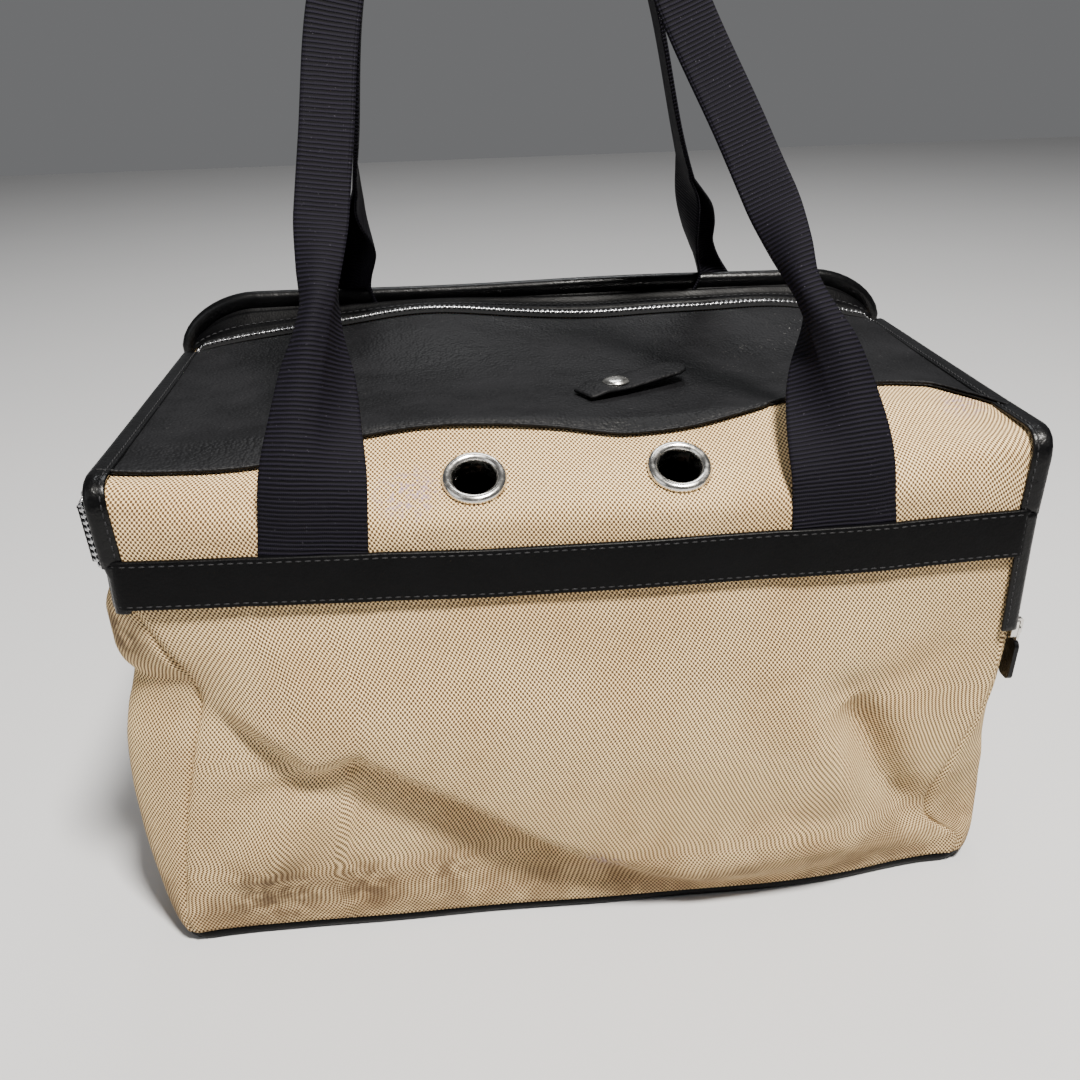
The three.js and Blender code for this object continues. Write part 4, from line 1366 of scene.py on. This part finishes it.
def rim_height(x: Array) -> Array:
    """Height of the back panel's top edge across the bag."""
    over = np.clip((np.abs(x) - (BASE_HALF - RIM_CORNER)) / RIM_CORNER, 0, 1)
    return mix(RIM_TOP, RIM_END, 1 - (1 - over**1.8) ** 0.6)


@dataclass
class Bands:
    """The leather bands along the front and back, stitched at both edges."""

    thick: float = 3.2
    strap_x: float = 120.0
    strap_half: float = 25.0
    lift = Line((-209, 4.0), (-151, 2.4), (-89, 1.0), (-29, -0.8), (25, -0.6), (90, 0.0), (142, 0.8),
                (173, 2.0), (209, 3.4))

    def path(self, face: int) -> tuple[Array, Array]:
        """The band's middle line and its outward directions, round the corners a little."""
        straight = np.linspace(-203, 203, 120)
        turn = np.linspace(0, 1.15, 8)[1:]
        right = np.stack((203 + 7 * np.sin(turn), -1.4 + 7 * (1 - np.cos(turn))), 1)
        left = right[::-1] * (-1, 1)
        across = np.concatenate((left[:, 0], straight, right[:, 0]))
        back = np.concatenate((left[:, 1], np.full_like(straight, -1.4), right[:, 1]))
        out = np.stack((np.concatenate((-np.sin(turn[::-1]), 0 * straight, np.sin(turn))),
                        np.concatenate((-np.cos(turn[::-1]), 0 * straight - 1, -np.cos(turn))),
                        np.zeros(len(across))), 1)
        path = np.stack((across, -DEPTH + back, np.zeros(len(across))), 1)
        bulge = sum(ease(self.strap_half + 3 - np.abs(across - s * self.strap_x), 0, 4) for s in (-1, 1))
        path = path + out * (0.5 * bulge + 0.25 * np.sin(across / 17))[:, None]
        path[:, 2] = (BAND_LOW + BAND_TOP) / 2 + self.lift(across)
        if face > 0:
            path, out = path * (1, -1, 1), out * (1, -1, 1)
        return path, out

    def build(self) -> None:
        """Makes both bands and their stitches."""
        height = BAND_TOP - BAND_LOW
        up = np.array((0.0, 0.0, 1.0))
        for name, face in (("front", -1), ("back", 1)):
            path, out = self.path(face)
            section = rounded_section(self.thick, height, 1.3)
            section = [(a - 0.5 * math.exp(-(((abs(b) - height / 2 + 2.2) / 0.6) ** 2)) * (a > 0), b)
                       for a, b in section]
            rise = np.tile(up, (len(path), 1))
            thing = sweep(f"leather_band_{name}", path, out, rise, section)
            settle(thing, Finish.BAND, "root", f"band_{name}")
            for edge, level in (("top", height / 2 - 2.2), ("low", 2.2 - height / 2)):
                row = path + out * (self.thick / 2 - 0.3) + up * level
                stitches = Stitching().row(f"band_stitches_{name}_{edge}", row, out)
                settle(stitches, Finish.THREAD, "root")


@dataclass
class BackRim:
    """The strip behind the zip and the rolled edge along the top of the back."""

    roll: float = 4.2

    def build(self) -> None:
        """Makes the strip, the roll and their stitches."""
        x = np.linspace(-BASE_HALF + 0.6, BASE_HALF - 0.6, 140)
        near = STRIP_Y - 0.8
        rows = []
        for share in np.linspace(0, 1, 20):
            y = mix(near, DEPTH - 1.6, share)
            z = mix(LidForm.top(x, np.full_like(x, STRIP_Y)), rim_height(x) + 1.2, share**0.9)
            lip = 1.2 * hump(share, 0.12, 0.10) + 1.6 * hump(share, 0.62, 0.12)
            lip = lip - 1.2 * hump(share, 0.82, 0.08)
            rows.append(stack(splayed(x, z), np.full_like(x, y), z + lip))
        points = np.array(rows)
        facing = float(np.sign(normals(points)[8, 60, 2]))
        settle(sheet("rim_leather", points, 1.8, facing), Finish.BAND, "root", "back_rim_strip")
        settle(Stitching().row("rim_stitches", points[6] + (0, 0, 0.1), normals(points)[6] * facing),
               Finish.THREAD, "root")
        out = self.roll + 0.6
        angle = np.linspace(0, math.pi / 2, 14)
        over = np.sin(angle) ** 1.1
        right = np.stack((BASE_HALF - RIM_CORNER + (RIM_CORNER + out) * over,
                          RIM_END + (RIM_TOP - RIM_END + out) * (1 - over**1.8) ** 0.6), 1)
        right = np.vstack((right, (BASE_HALF + out, 242.0), (BASE_HALF + out - 1.0, 235.0)))
        flat = np.vstack((right[::-1] * (-1, 1), right))
        line = np.stack((splayed(flat[:, 0], flat[:, 1]), np.full(len(flat), DEPTH - 1.0), flat[:, 1]), 1)
        path, = resampled(line, 5.0)
        path[:, 2] += 0.6 * np.sin(path[:, 0] / 37)
        side = np.tile((0.0, 1.0, 0.0), (len(path), 1))
        up = unit(np.cross(side, tangents(path)))
        up *= np.sign(up[len(up) // 2, 2])
        section = [(self.roll * math.cos(a), self.roll * math.sin(a)) for a in np.arange(20) * TURN / 20]
        skirt = np.array([(a * (1.0 if b > -1 else 0.8), b if b > -1 else b * 1.5 - 0.5) for a, b in section])
        taper = 0.6 + 0.4 * ease(path[:, 2], 234, 250)
        thing = sweep("rim_roll", path, side, up, skirt[None] * taper[:, None, None])
        settle(thing, Finish.EDGING, "root", "back_rim_roll")
        row = path - up * 4.6 + side * (self.roll * 0.86)
        settle(Stitching().row("rim_roll_stitches", row, side), Finish.THREAD, "root")


@dataclass
class Zip:
    """The metal zip round three sides of the lid."""

    pitch: float = 3.0
    tooth: tuple = (1.75, 3.1, 1.9)
    tape_width: float = 6.2

    def path(self) -> tuple[Array, Array]:
        """The parting line from the left front, round the back, to the right front, with normals."""
        inset = 8.0
        x = BASE_HALF + 0.3 + 1.2
        radius = 4.0
        y0, z1 = -DEPTH + inset, END_TOP - inset
        points, out = [], []
        angles = np.linspace(math.pi, math.pi / 2, 6)
        side = [(y0, z) for z in np.linspace(LID_LOW - 0.4, z1 - radius, 8)]
        side += [(y0 + radius + radius * math.cos(a), z1 - radius + radius * math.sin(a)) for a in angles[1:]]
        side += [(y, z1) for y in np.linspace(y0 + radius + 6, 86, 24)]
        for y, z in side:
            points.append((splayed(x, z), y, z))
            out.append((1.0, 0.0, 0.0))
        for share in np.linspace(0.2, 0.9, 7):
            a = share * math.pi / 2
            z = mix(z1, END_TOP + 2.2, ease(share, 0, 1))
            points.append((splayed(x - 9 * (1 - math.cos(a)), z), 88 + 11 * math.sin(a), z))
            out.append((math.cos(a), 0.2, math.sin(a)))
        for flat_x in np.linspace(x - 10, 0, 44):
            top = float(LidForm.top(np.array(flat_x), np.array(ZIP_Y)))
            points.append((splayed(flat_x, top), ZIP_Y, top + 1.0))
            out.append((0.0, 0.0, 1.0))
        right, right_out = np.array(points), np.array(out)
        left, left_out = right[::-1][1:] * (-1, 1, 1), right_out[::-1][1:] * (-1, 1, 1)
        # The left front corner puckers; the right one stays straight for the slider.
        pucker = 1 - ease(left[:, 1], -104.0, -70.0)
        left = left + stack(-3.4 * pucker, -2.5 * pucker, 0 * pucker)
        left_out = left_out + stack(0 * pucker, -0.7 * pucker, 0.25 * pucker)
        # From the left front to the back's middle, then on to the right front.
        whole = np.vstack((left[::-1], right[::-1]))
        whole_out = np.vstack((left_out[::-1], right_out[::-1]))
        return whole, whole_out

    def build(self) -> None:
        """Makes both rows of teeth and both tapes."""
        path, out = self.path()
        # The back's height isn't the same on its two sides, so it is read again.
        back = np.abs(path[:, 1] - ZIP_Y) < 1e-6
        flat_x = path[back, 0] / (1 + SPLAY * path[back, 2])
        path[back, 2] = LidForm.top(flat_x, np.full(back.sum(), ZIP_Y)) + 1.0
        path, out = resampled(path, self.pitch / 2, out)
        out = unit(out)
        ahead = tangents(path)
        toward_lid = unit(np.cross(ahead, out))
        middle = len(path) // 2
        if toward_lid[middle, 1] > 0:
            toward_lid = -toward_lid
        long, deep, high = self.tooth
        rings = []
        for d, wide, tall in ((0.0, 0.8, 0.35), (0.4, 0.95, 0.5), (deep * 0.45, 0.9, 0.6),
                              (deep * 0.72, 1.0, 1.0), (deep * 0.92, 0.95, 0.95), (deep, 0.7, 0.6)):
            ring = rounded_section(long * wide, high * tall, 0.45 * tall, 2)
            rings.append([(a, d, b) for a, b in ring])
        shape, faces = loft(rings)
        sides = (("lid", "lid", 0, 1.0), ("body", "root", 1, -1.0))
        for name, body, first, way in sides:
            toward = toward_lid * way
            keep = slice(first, None, 2)
            axes = np.stack((ahead[keep], toward[keep], out[keep]), 1)
            places = path[keep] + out[keep] * 0.55 - toward[keep] * 0.35
            teeth = scatter(f"zip_row_{name}", shape, faces, places, axes)
            nodes = [f"zip_teeth_{name}_{end}" for end in ("left", "right", "back")]
            settle(teeth, Finish.TEETH, body, *nodes)
            across = np.linspace(0.5, self.tape_width, 12)
            points = path[None] + toward[None] * across[:, None, None] - out[None] * 0.75
            cord = 0.9 * hump(across, 3.1, 0.8) + (2.2 * hump(across, 4.9, 1.1) if way < 0 else 0)
            points = points + out[None] * cord[:, None, None]
            facing = float(np.sign(np.sum(normals(points)[4, middle] * out[middle])))
            tape = sheet(f"zip_cloth_{name}", points, 0.8, facing)
            nodes = [f"zip_tape_{name}_{end}" for end in ("left", "right", "back")]
            settle(tape, Finish.TAPE, body, *nodes)


@dataclass
class ZipEnds:
    """The leather over the zip's start, its tail, and the slider with its pull."""

    body: Body

    def build(self) -> None:
        """Makes the start tab and the tail, and gives the slider, its ring and its pull their finishes."""
        self.strip("zip_start_cover", -1, 189.5, 212.5, 4.5, 13.0, "zip_start_tab")
        self.strip("zip_tail_cover", 1, 151.0, 212.0, 5.5, 11.0, "zip_tail")
        Finish.NICKEL.put_on_node("zip_slider", "pull_ring")
        Finish.EDGING.put_on_node("pull_tab")

    def strip(self, name: str, side: int, low: float, high: float, front: float, back: float,
              node: str) -> None:
        """A leather strip folded round a front corner.

        Args:
            name: the piece's name.
            side: -1 for the left corner, 1 for the right.
            low: its lower end.
            high: its upper end.
            front: how far it reaches over the front.
            back: how far it reaches over the end.
            node: the CAD node that it stands for.
        """
        z = np.linspace(low, high, 26)
        seam = self.body.front_point(np.full_like(z, 0.0 if side < 0 else 1.0), z)
        seam[:, 0] = side * np.maximum(np.abs(seam[:, 0]), 207.0)
        seam[:, 1] = -120.0
        reach = np.array([(-front, -3.1), (-front * 0.6, -3.3), (-2.5, -3.3), (0.2, -3.0), (2.0, -1.9),
                          (2.9, -0.2), (3.2, 2.0), (3.3, back * 0.6), (3.2, back)])
        rows = seam[:, None] + stack(side * reach[None, :, 0], reach[None, :, 1], np.zeros((1, len(reach))))
        facing = float(np.sign(normals(rows)[12, 1] @ np.array((0, -1, 0))))
        thing = sheet(name, self.finer(rows), 1.6, facing)
        settle(thing, Finish.EDGING, "root", node)
        edge = rows[:, 0] + (side * 1.6, -0.05, 0)
        out = np.tile((0.0, -1.0, 0.0), (len(edge), 1))
        settle(Stitching(3.6, 2.7).row(f"{name}_stitches", edge, out), Finish.THREAD, "root")

    @staticmethod
    def finer(rows: Array) -> Array:
        """The same grid with smooth columns between its own."""
        count = rows.shape[1]
        at = np.arange(count)
        new = np.linspace(0, count - 1, 4 * count - 3)
        out = np.empty((len(rows), len(new), 3))
        for r in range(len(rows)):
            for k in range(3):
                out[r, :, k] = Line(*zip(at, rows[r, :, k]))(new)
        return out


@dataclass
class SnapTab:
    """The small strap on the lid with its press snap."""

    root: tuple = (10.0, -42.0)
    length: float = 62.0
    width: float = 19.0
    turn: float = math.radians(27)
    snap_at: float = 20.0

    def axes(self) -> tuple[Array, Array]:
        """The tab's root in the frame and its three axes."""
        x, y = self.root
        tip_x = x + self.length * math.cos(self.turn)
        tip_y = y + self.length * math.sin(self.turn)
        root_z = float(LidForm.top(np.array(x), np.array(y)))
        tip_z = float(LidForm.top(np.array(tip_x), np.array(tip_y)))
        slope = (tip_z - root_z) / self.length
        along = unit(np.array((math.cos(self.turn), math.sin(self.turn), slope)))
        side = np.array((-math.sin(self.turn), math.cos(self.turn), 0.0))
        return np.array((x, y, root_z + 3.2)), np.array((along, side, np.cross(along, side)))

    def build(self) -> None:
        """Makes the leather and the cap, and gives the socket its finish."""
        place, axes = self.axes()
        half = self.width / 2
        t = np.linspace(0, 1, 44)
        along = self.length * (1 - (1 - t) ** 1.5)
        tail = np.clip((along - (self.length - half)) / half, 0, 0.999)
        wide = half * np.sqrt(1 - tail**2)
        wide = wide * (0.82 + 0.18 * ease(along, 0, 9))
        share = np.linspace(-1, 1, 19)
        lift = -2.1 * (1 - ease(along, 0, 10)) + 1.6 * ease(along, 30, 62)
        lift = lift - 0.8 * hump(along, self.snap_at, 8)
        edge = -0.35 * np.abs(share)[None, :] ** 6
        groove = 0.25 * hump(np.abs(share)[None, :] * half, half - 1.8, 0.5)
        points = stack(along[:, None] + 0 * share[None, :], wide[:, None] * share[None, :],
                       1.9 + lift[:, None] + edge - groove)
        points = points @ axes + place
        facing = float(np.sign(normals(points)[20, 9] @ axes[2]))
        settle(sheet("snap_strap", points, 1.9, facing), Finish.LEATHER, "lid_tab", "snap_tab")
        cap = [(0.01, 1.2), (6.6, 1.2), (7.0, 1.5), (6.9, 2.0)]
        cap += [(6.5 * math.cos(a), 2.0 + 1.7 * math.sin(a))
                for a in np.linspace(0.1, math.pi / 2 - 0.01, 12)]
        at = place + axes[0] * self.snap_at
        settle(set_down(lathe("snap_dome", cap), at, axes), Finish.NICKEL, "lid_tab", "snap_cap")
        Finish.NICKEL.put_on_node("snap_socket")


@dataclass
class Handle:
    """A loop of webbing, flat at its feet and folded in half above."""

    name: str
    face: int
    route: tuple
    turn_from: float
    body: str
    twists: tuple = (0.15, 0.15)
    lower: float = 6.0
    half: float = 23.8
    thick: float = 1.5
    gather = Line((212, 1), (250, 0.97), (276, 0.86), (295, 0.78), (311, 0.64), (318, 0.61), (336, 0.85),
                  (356, 1), (400, 1))
    fold = Line((245, 0), (262, 0.2), (276, 0.47), (295, 0.86), (311, 1.28), (318, 1.45), (336, 2.0),
                (362, 2.95), (376, 3.09))

    def section(self, z: Array) -> Array:
        """Where the webbing's width lies at heights.

        Args:
            z: heights along the handle.

        Returns:
            For each height, (across, out) places of points across the webbing.
        """
        w = np.linspace(-1, 1, 29)[None, :] * self.half
        z = z[:, None]
        share = self.gather(z)
        angle = self.fold(z)
        near = np.where(w < 0, w, 0) * share
        far = np.where(w > 0, w, 0) * share
        shift = self.half / 2 * share * (1 - np.clip(np.cos(angle), 0, 1))
        bow = np.sqrt(np.clip(1 - share**2, 0, 1)) * 6.0
        wave = np.sin(math.pi * np.abs(w) / self.half)
        across = near + far * np.cos(angle) + shift
        out = -far * np.sin(angle) - 1.2 * ease(z, 318, 352) * (w > 0)
        out = out + bow * wave * np.where(w < 0, 1.0, -0.5)
        cup = 1.2 * (w / self.half) ** 2 * (1 - ease(z, 235, 280)) * ease(z, 212, 230)
        return np.stack((across, out - cup), -1)

    def build(self) -> None:
        """Makes the handle."""
        path = spline(np.array(self.route))
        foot = path[0] - (0, 0, 5.0)
        last = path[-1] - (0, 0, 5.0)
        path = np.vstack((foot, path, last))
        path, = resampled(path, 3.0)
        ahead = tangents(path)
        ahead[:2] = (0, 0, 1)
        ahead[-2:] = (0, 0, -1)
        across = unit(np.cross((0.0, 1.0, 0.0), ahead))
        through = unit(np.cross(ahead, across))
        turn = math.pi / 2 * np.clip((path[:, 2] - self.turn_from) / 60, 0, 1)
        amount = np.where(path[:, 0] < 0, *self.twists)
        twist = amount * hump(path[:, 2], 312, 30) * np.sign(path[:, 0]) * (-self.face)
        turn = turn + twist
        wide = across * np.cos(turn)[:, None] + through * np.sin(turn)[:, None]
        out = unit(np.cross(ahead, wide))
        # Out is the side that faces away from the bag while the loop stands up.
        out *= np.sign(out[2, 1]) * self.face
        shape = self.section(path[:, 2] + self.lower)
        points = path[:, None] + wide[:, None] * shape[..., :1] + out[:, None] * shape[..., 1:]
        facing = float(np.sign(normals(points)[3, 12] @ np.array((0.0, float(self.face), 0.0))))
        along = run_length(path[:, None], 0)[:, 0]
        thing = sheet(f"webbing_{self.name}", points, self.thick, facing, along=along)
        y = self.face * 123.0
        bend = ("root", self.body, (0.0, y, BAND_TOP - 2.0), (0.0, y, BAND_TOP + 2.5))
        settle(thing, Finish.WEBBING, bend, f"handle_{self.name}")


FRONT_ROUTE = (
    (-120, -122.8, 211.9), (-117, -120.5, 245), (-114, -106, 276), (-111, -89, 311), (-103, -53, 378),
    (-95, -28, 436), (-72, -15, 502), (-20, -14, 531), (36, -15, 495), (58, -28, 432), (83, -53, 374),
    (106, -88, 310), (114, -106, 272), (118, -120.5, 240), (120, -122.8, 211.9),
)
BACK_ROUTE = (
    (-120, 122.8, 211.9), (-117, 126.5, 245), (-113, 130, 278), (-110, 112, 311), (-99, 64, 371),
    (-89, 38, 436), (-70, 15, 498), (-20, 14, 525), (36, 15, 490), (58, 38, 432), (76, 64, 371),
    (100, 112, 311), (109, 130, 278), (117, 126.5, 245), (120, 122.8, 211.9),
)


@dataclass
class Cushion:
    """The padded cushion on the floor of the cabin, with a piped edge."""

    fill: float = 0.7
    pressure: float = 0.38

    def build(self) -> None:
        """Makes the cushion, puffed by simulation, and its piping."""
        low, high = box_mm("base_cushion")
        size = (high - low) * (0.95, 0.955, 0.62)
        centre = (low + high) / 2
        section = rounded_section(size[0], size[1], 22, 6)
        rings = [[(a * k + centre[0], b * k + centre[1], centre[2] + dz * size[2] / 2) for a, b in section]
                 for k, dz in ((0.97, -1), (1.0, -0.4), (1.0, 0.4), (0.97, 1))]
        points, faces = loft(rings)
        thing = make_mesh("cabin_cushion", points, faces)
        self.remesh(thing)
        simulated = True
        if simulated:
            self.puff(thing)
        self.level(thing, low[2], high[2], simulated)
        settle(thing, Finish.CUSHION, "root", "base_cushion")
        edge = np.array([(a + centre[0], b + centre[1], centre[2] - 0.5) for a, b in
                         rounded_section(size[0] + 3.0, size[1] + 3.0, 23, 8)])
        edge, = resampled(np.vstack((edge, edge[:1])), 6.0)
        side = unit(np.cross(tangents(edge), (0.0, 0.0, 1.0)))
        up = np.tile((0.0, 0.0, 1.0), (len(edge), 1))
        ring = [(1.7 * math.cos(a), 1.7 * math.sin(a)) for a in np.arange(10) * TURN / 10]
        settle(sweep("cushion_piping", edge, side, up, ring), Finish.CUSHION, "root")

    @staticmethod
    def apply(thing: bpy.types.Object) -> None:
        """Makes a piece's modifiers part of its mesh."""
        deps = bpy.context.evaluated_depsgraph_get()
        shaped = bpy.data.meshes.new_from_object(thing.evaluated_get(deps))
        thing.modifiers.clear()
        thing.data = shaped

    def remesh(self, thing: bpy.types.Object) -> None:
        """Gives a piece even small faces."""
        change = thing.modifiers.new("remesh", "REMESH")
        change.mode = "VOXEL"
        change.voxel_size = 5.5 * MM
        change.use_smooth_shade = True
        bpy.context.view_layer.update()
        self.apply(thing)

    def puff(self, thing: bpy.types.Object) -> None:
        """Blows a piece up as cloth under a little pressure."""
        before = np.array([v.co for v in thing.data.vertices]) / MM
        cloth = thing.modifiers.new("cloth", "CLOTH")
        cloth.settings.use_pressure = True
        cloth.settings.uniform_pressure_force = self.pressure
        cloth.settings.effector_weights.gravity = 0.0
        scene = bpy.context.scene
        for step in range(1, 21):
            scene.frame_set(step)
        self.apply(thing)
        scene.frame_set(1)
        after = np.array([v.co for v in thing.data.vertices]) / MM
        far = np.linalg.norm(after - before, axis=1)
        LOG.info("cushion cloth moved %.2f mm on average, %.2f mm at most", far.mean(), far.max())

    @staticmethod
    def level(thing: bpy.types.Object, low: float, high: float, simulated: bool) -> None:
        """Fits the cushion to its proper height, and crowns it where no cloth run has done so."""
        co = np.array([v.co for v in thing.data.vertices]) / MM
        middle = (low + high) / 2
        tall = (high - low) / 2
        if not simulated:
            half_x, half_y = np.abs(co[:, 0]).max(), np.abs(co[:, 1]).max()
            inside = (1 - (co[:, 0] / half_x) ** 4) * (1 - (co[:, 1] / half_y) ** 4)
            tall = tall * (0.55 + 0.45 * inside)
        spread = np.abs(co[:, 2] - middle).max()
        co[:, 2] = middle + (co[:, 2] - middle) / spread * tall
        co[:, 2] = np.maximum(co[:, 2], low + 0.2)
        thing.data.vertices.foreach_set("co", (co * MM).ravel())
        thing.data.polygons.foreach_set("use_smooth", np.ones(len(thing.data.polygons), bool))


# ---- room -------------------------------------------------------------------------


@dataclass
class Room:
    """The camera, the pale ground and the soft lights."""

    eye: tuple = (-51.3, -571.3, 416.6)
    yaw: float = math.radians(4.06)
    dip: float = math.radians(24.31)
    roll: float = math.radians(-1.73)
    lens: float = 36.87

    def camera(self) -> None:
        """Makes the camera, held by hand a little above the bag."""
        look = np.array((math.sin(self.yaw) * math.cos(self.dip), math.cos(self.yaw) * math.cos(self.dip),
                         -math.sin(self.dip)))
        right = np.array((math.cos(self.yaw), -math.sin(self.yaw), 0.0))
        up = np.cross(right, look)
        c, s = math.cos(self.roll), math.sin(self.roll)
        axes = np.array((c * right + s * up, -s * right + c * up, -look))
        data = bpy.data.cameras.new("camera")
        data.lens = self.lens
        data.sensor_width = 36.0
        data.clip_start = 0.01
        camera = bpy.data.objects.new("camera", data)
        bpy.context.scene.collection.objects.link(camera)
        place = Matrix(axes.T.tolist()).to_4x4()
        place.translation = [c * MM for c in self.eye]
        camera.matrix_world = place
        bpy.context.scene.camera = camera

    @staticmethod
    def lamp(name: str, place: tuple, aim: tuple, size: float, power: float, colour: tuple) -> None:
        """Makes one soft square light that looks at a point, in metres."""
        data = bpy.data.lights.new(name, "AREA")
        data.shape = "SQUARE"
        data.size = size
        data.energy = power
        data.color = colour
        light = bpy.data.objects.new(name, data)
        bpy.context.scene.collection.objects.link(light)
        back = unit(np.array(place) - np.array(aim))
        side = unit(np.cross((0.0, 0.0, 1.0), back))
        turn = Matrix(np.array((side, np.cross(back, side), back)).T.tolist()).to_4x4()
        turn.translation = place
        light.matrix_world = turn

    def build(self) -> None:
        """Makes the ground and the lights."""
        reach = 4000
        corners = np.array(((-reach, -reach, 0), (reach, -reach, 0), (reach, reach, 0), (-reach, reach, 0)))
        ground = make_mesh("ground", corners, [[0, 1, 2, 3]])
        ground.data.materials.append(Studio().build("ground"))
        world = bpy.data.worlds.new("room")
        world.use_nodes = True
        world.node_tree.nodes["Background"].inputs[0].default_value = (0.93, 0.94, 0.96, 1)
        world.node_tree.nodes["Background"].inputs[1].default_value = 0.17
        bpy.context.scene.world = world
        self.lamp("key", (0.32, -0.86, 1.98), (0.0, 0.0, 0.15), 0.30, 142.0, (1.0, 0.965, 0.91))
        self.lamp("fill", (-1.5, -0.9, 0.9), (0.0, 0.0, 0.1), 1.2, 7.0, (0.96, 0.98, 1.0))
        self.lamp("rear", (0.2, 1.5, 2.7), (0.0, 0.1, 0.1), 1.2, 36.0, (0.96, 0.98, 1.0))


def main() -> None:
    """Builds the room and the bag."""
    logging.basicConfig(level=logging.INFO, format="%(message)s")
    room = Room()
    room.camera()
    room.build()
    body = Body()
    body.build()
    Bands().build()
    BackRim().build()
    Lid().build()
    Eyelets().build()
    Zip().build()
    ZipEnds(body).build()
    SnapTab().build()
    Handle("front", -1, FRONT_ROUTE, 445.0, "front_handle", (0.12, 0.6)).build()
    Handle("back", 1, BACK_ROUTE, 290.0, "back_handle", (0.2, 0.3), 22.0).build()
    Cushion().build()
    ends = [f"strap_end_{face}_{side}" for face in ("front", "back") for side in ("left", "right")]
    Finish.WEBBING.put_on_node(*ends)


if __name__ == "__main__":
    main()
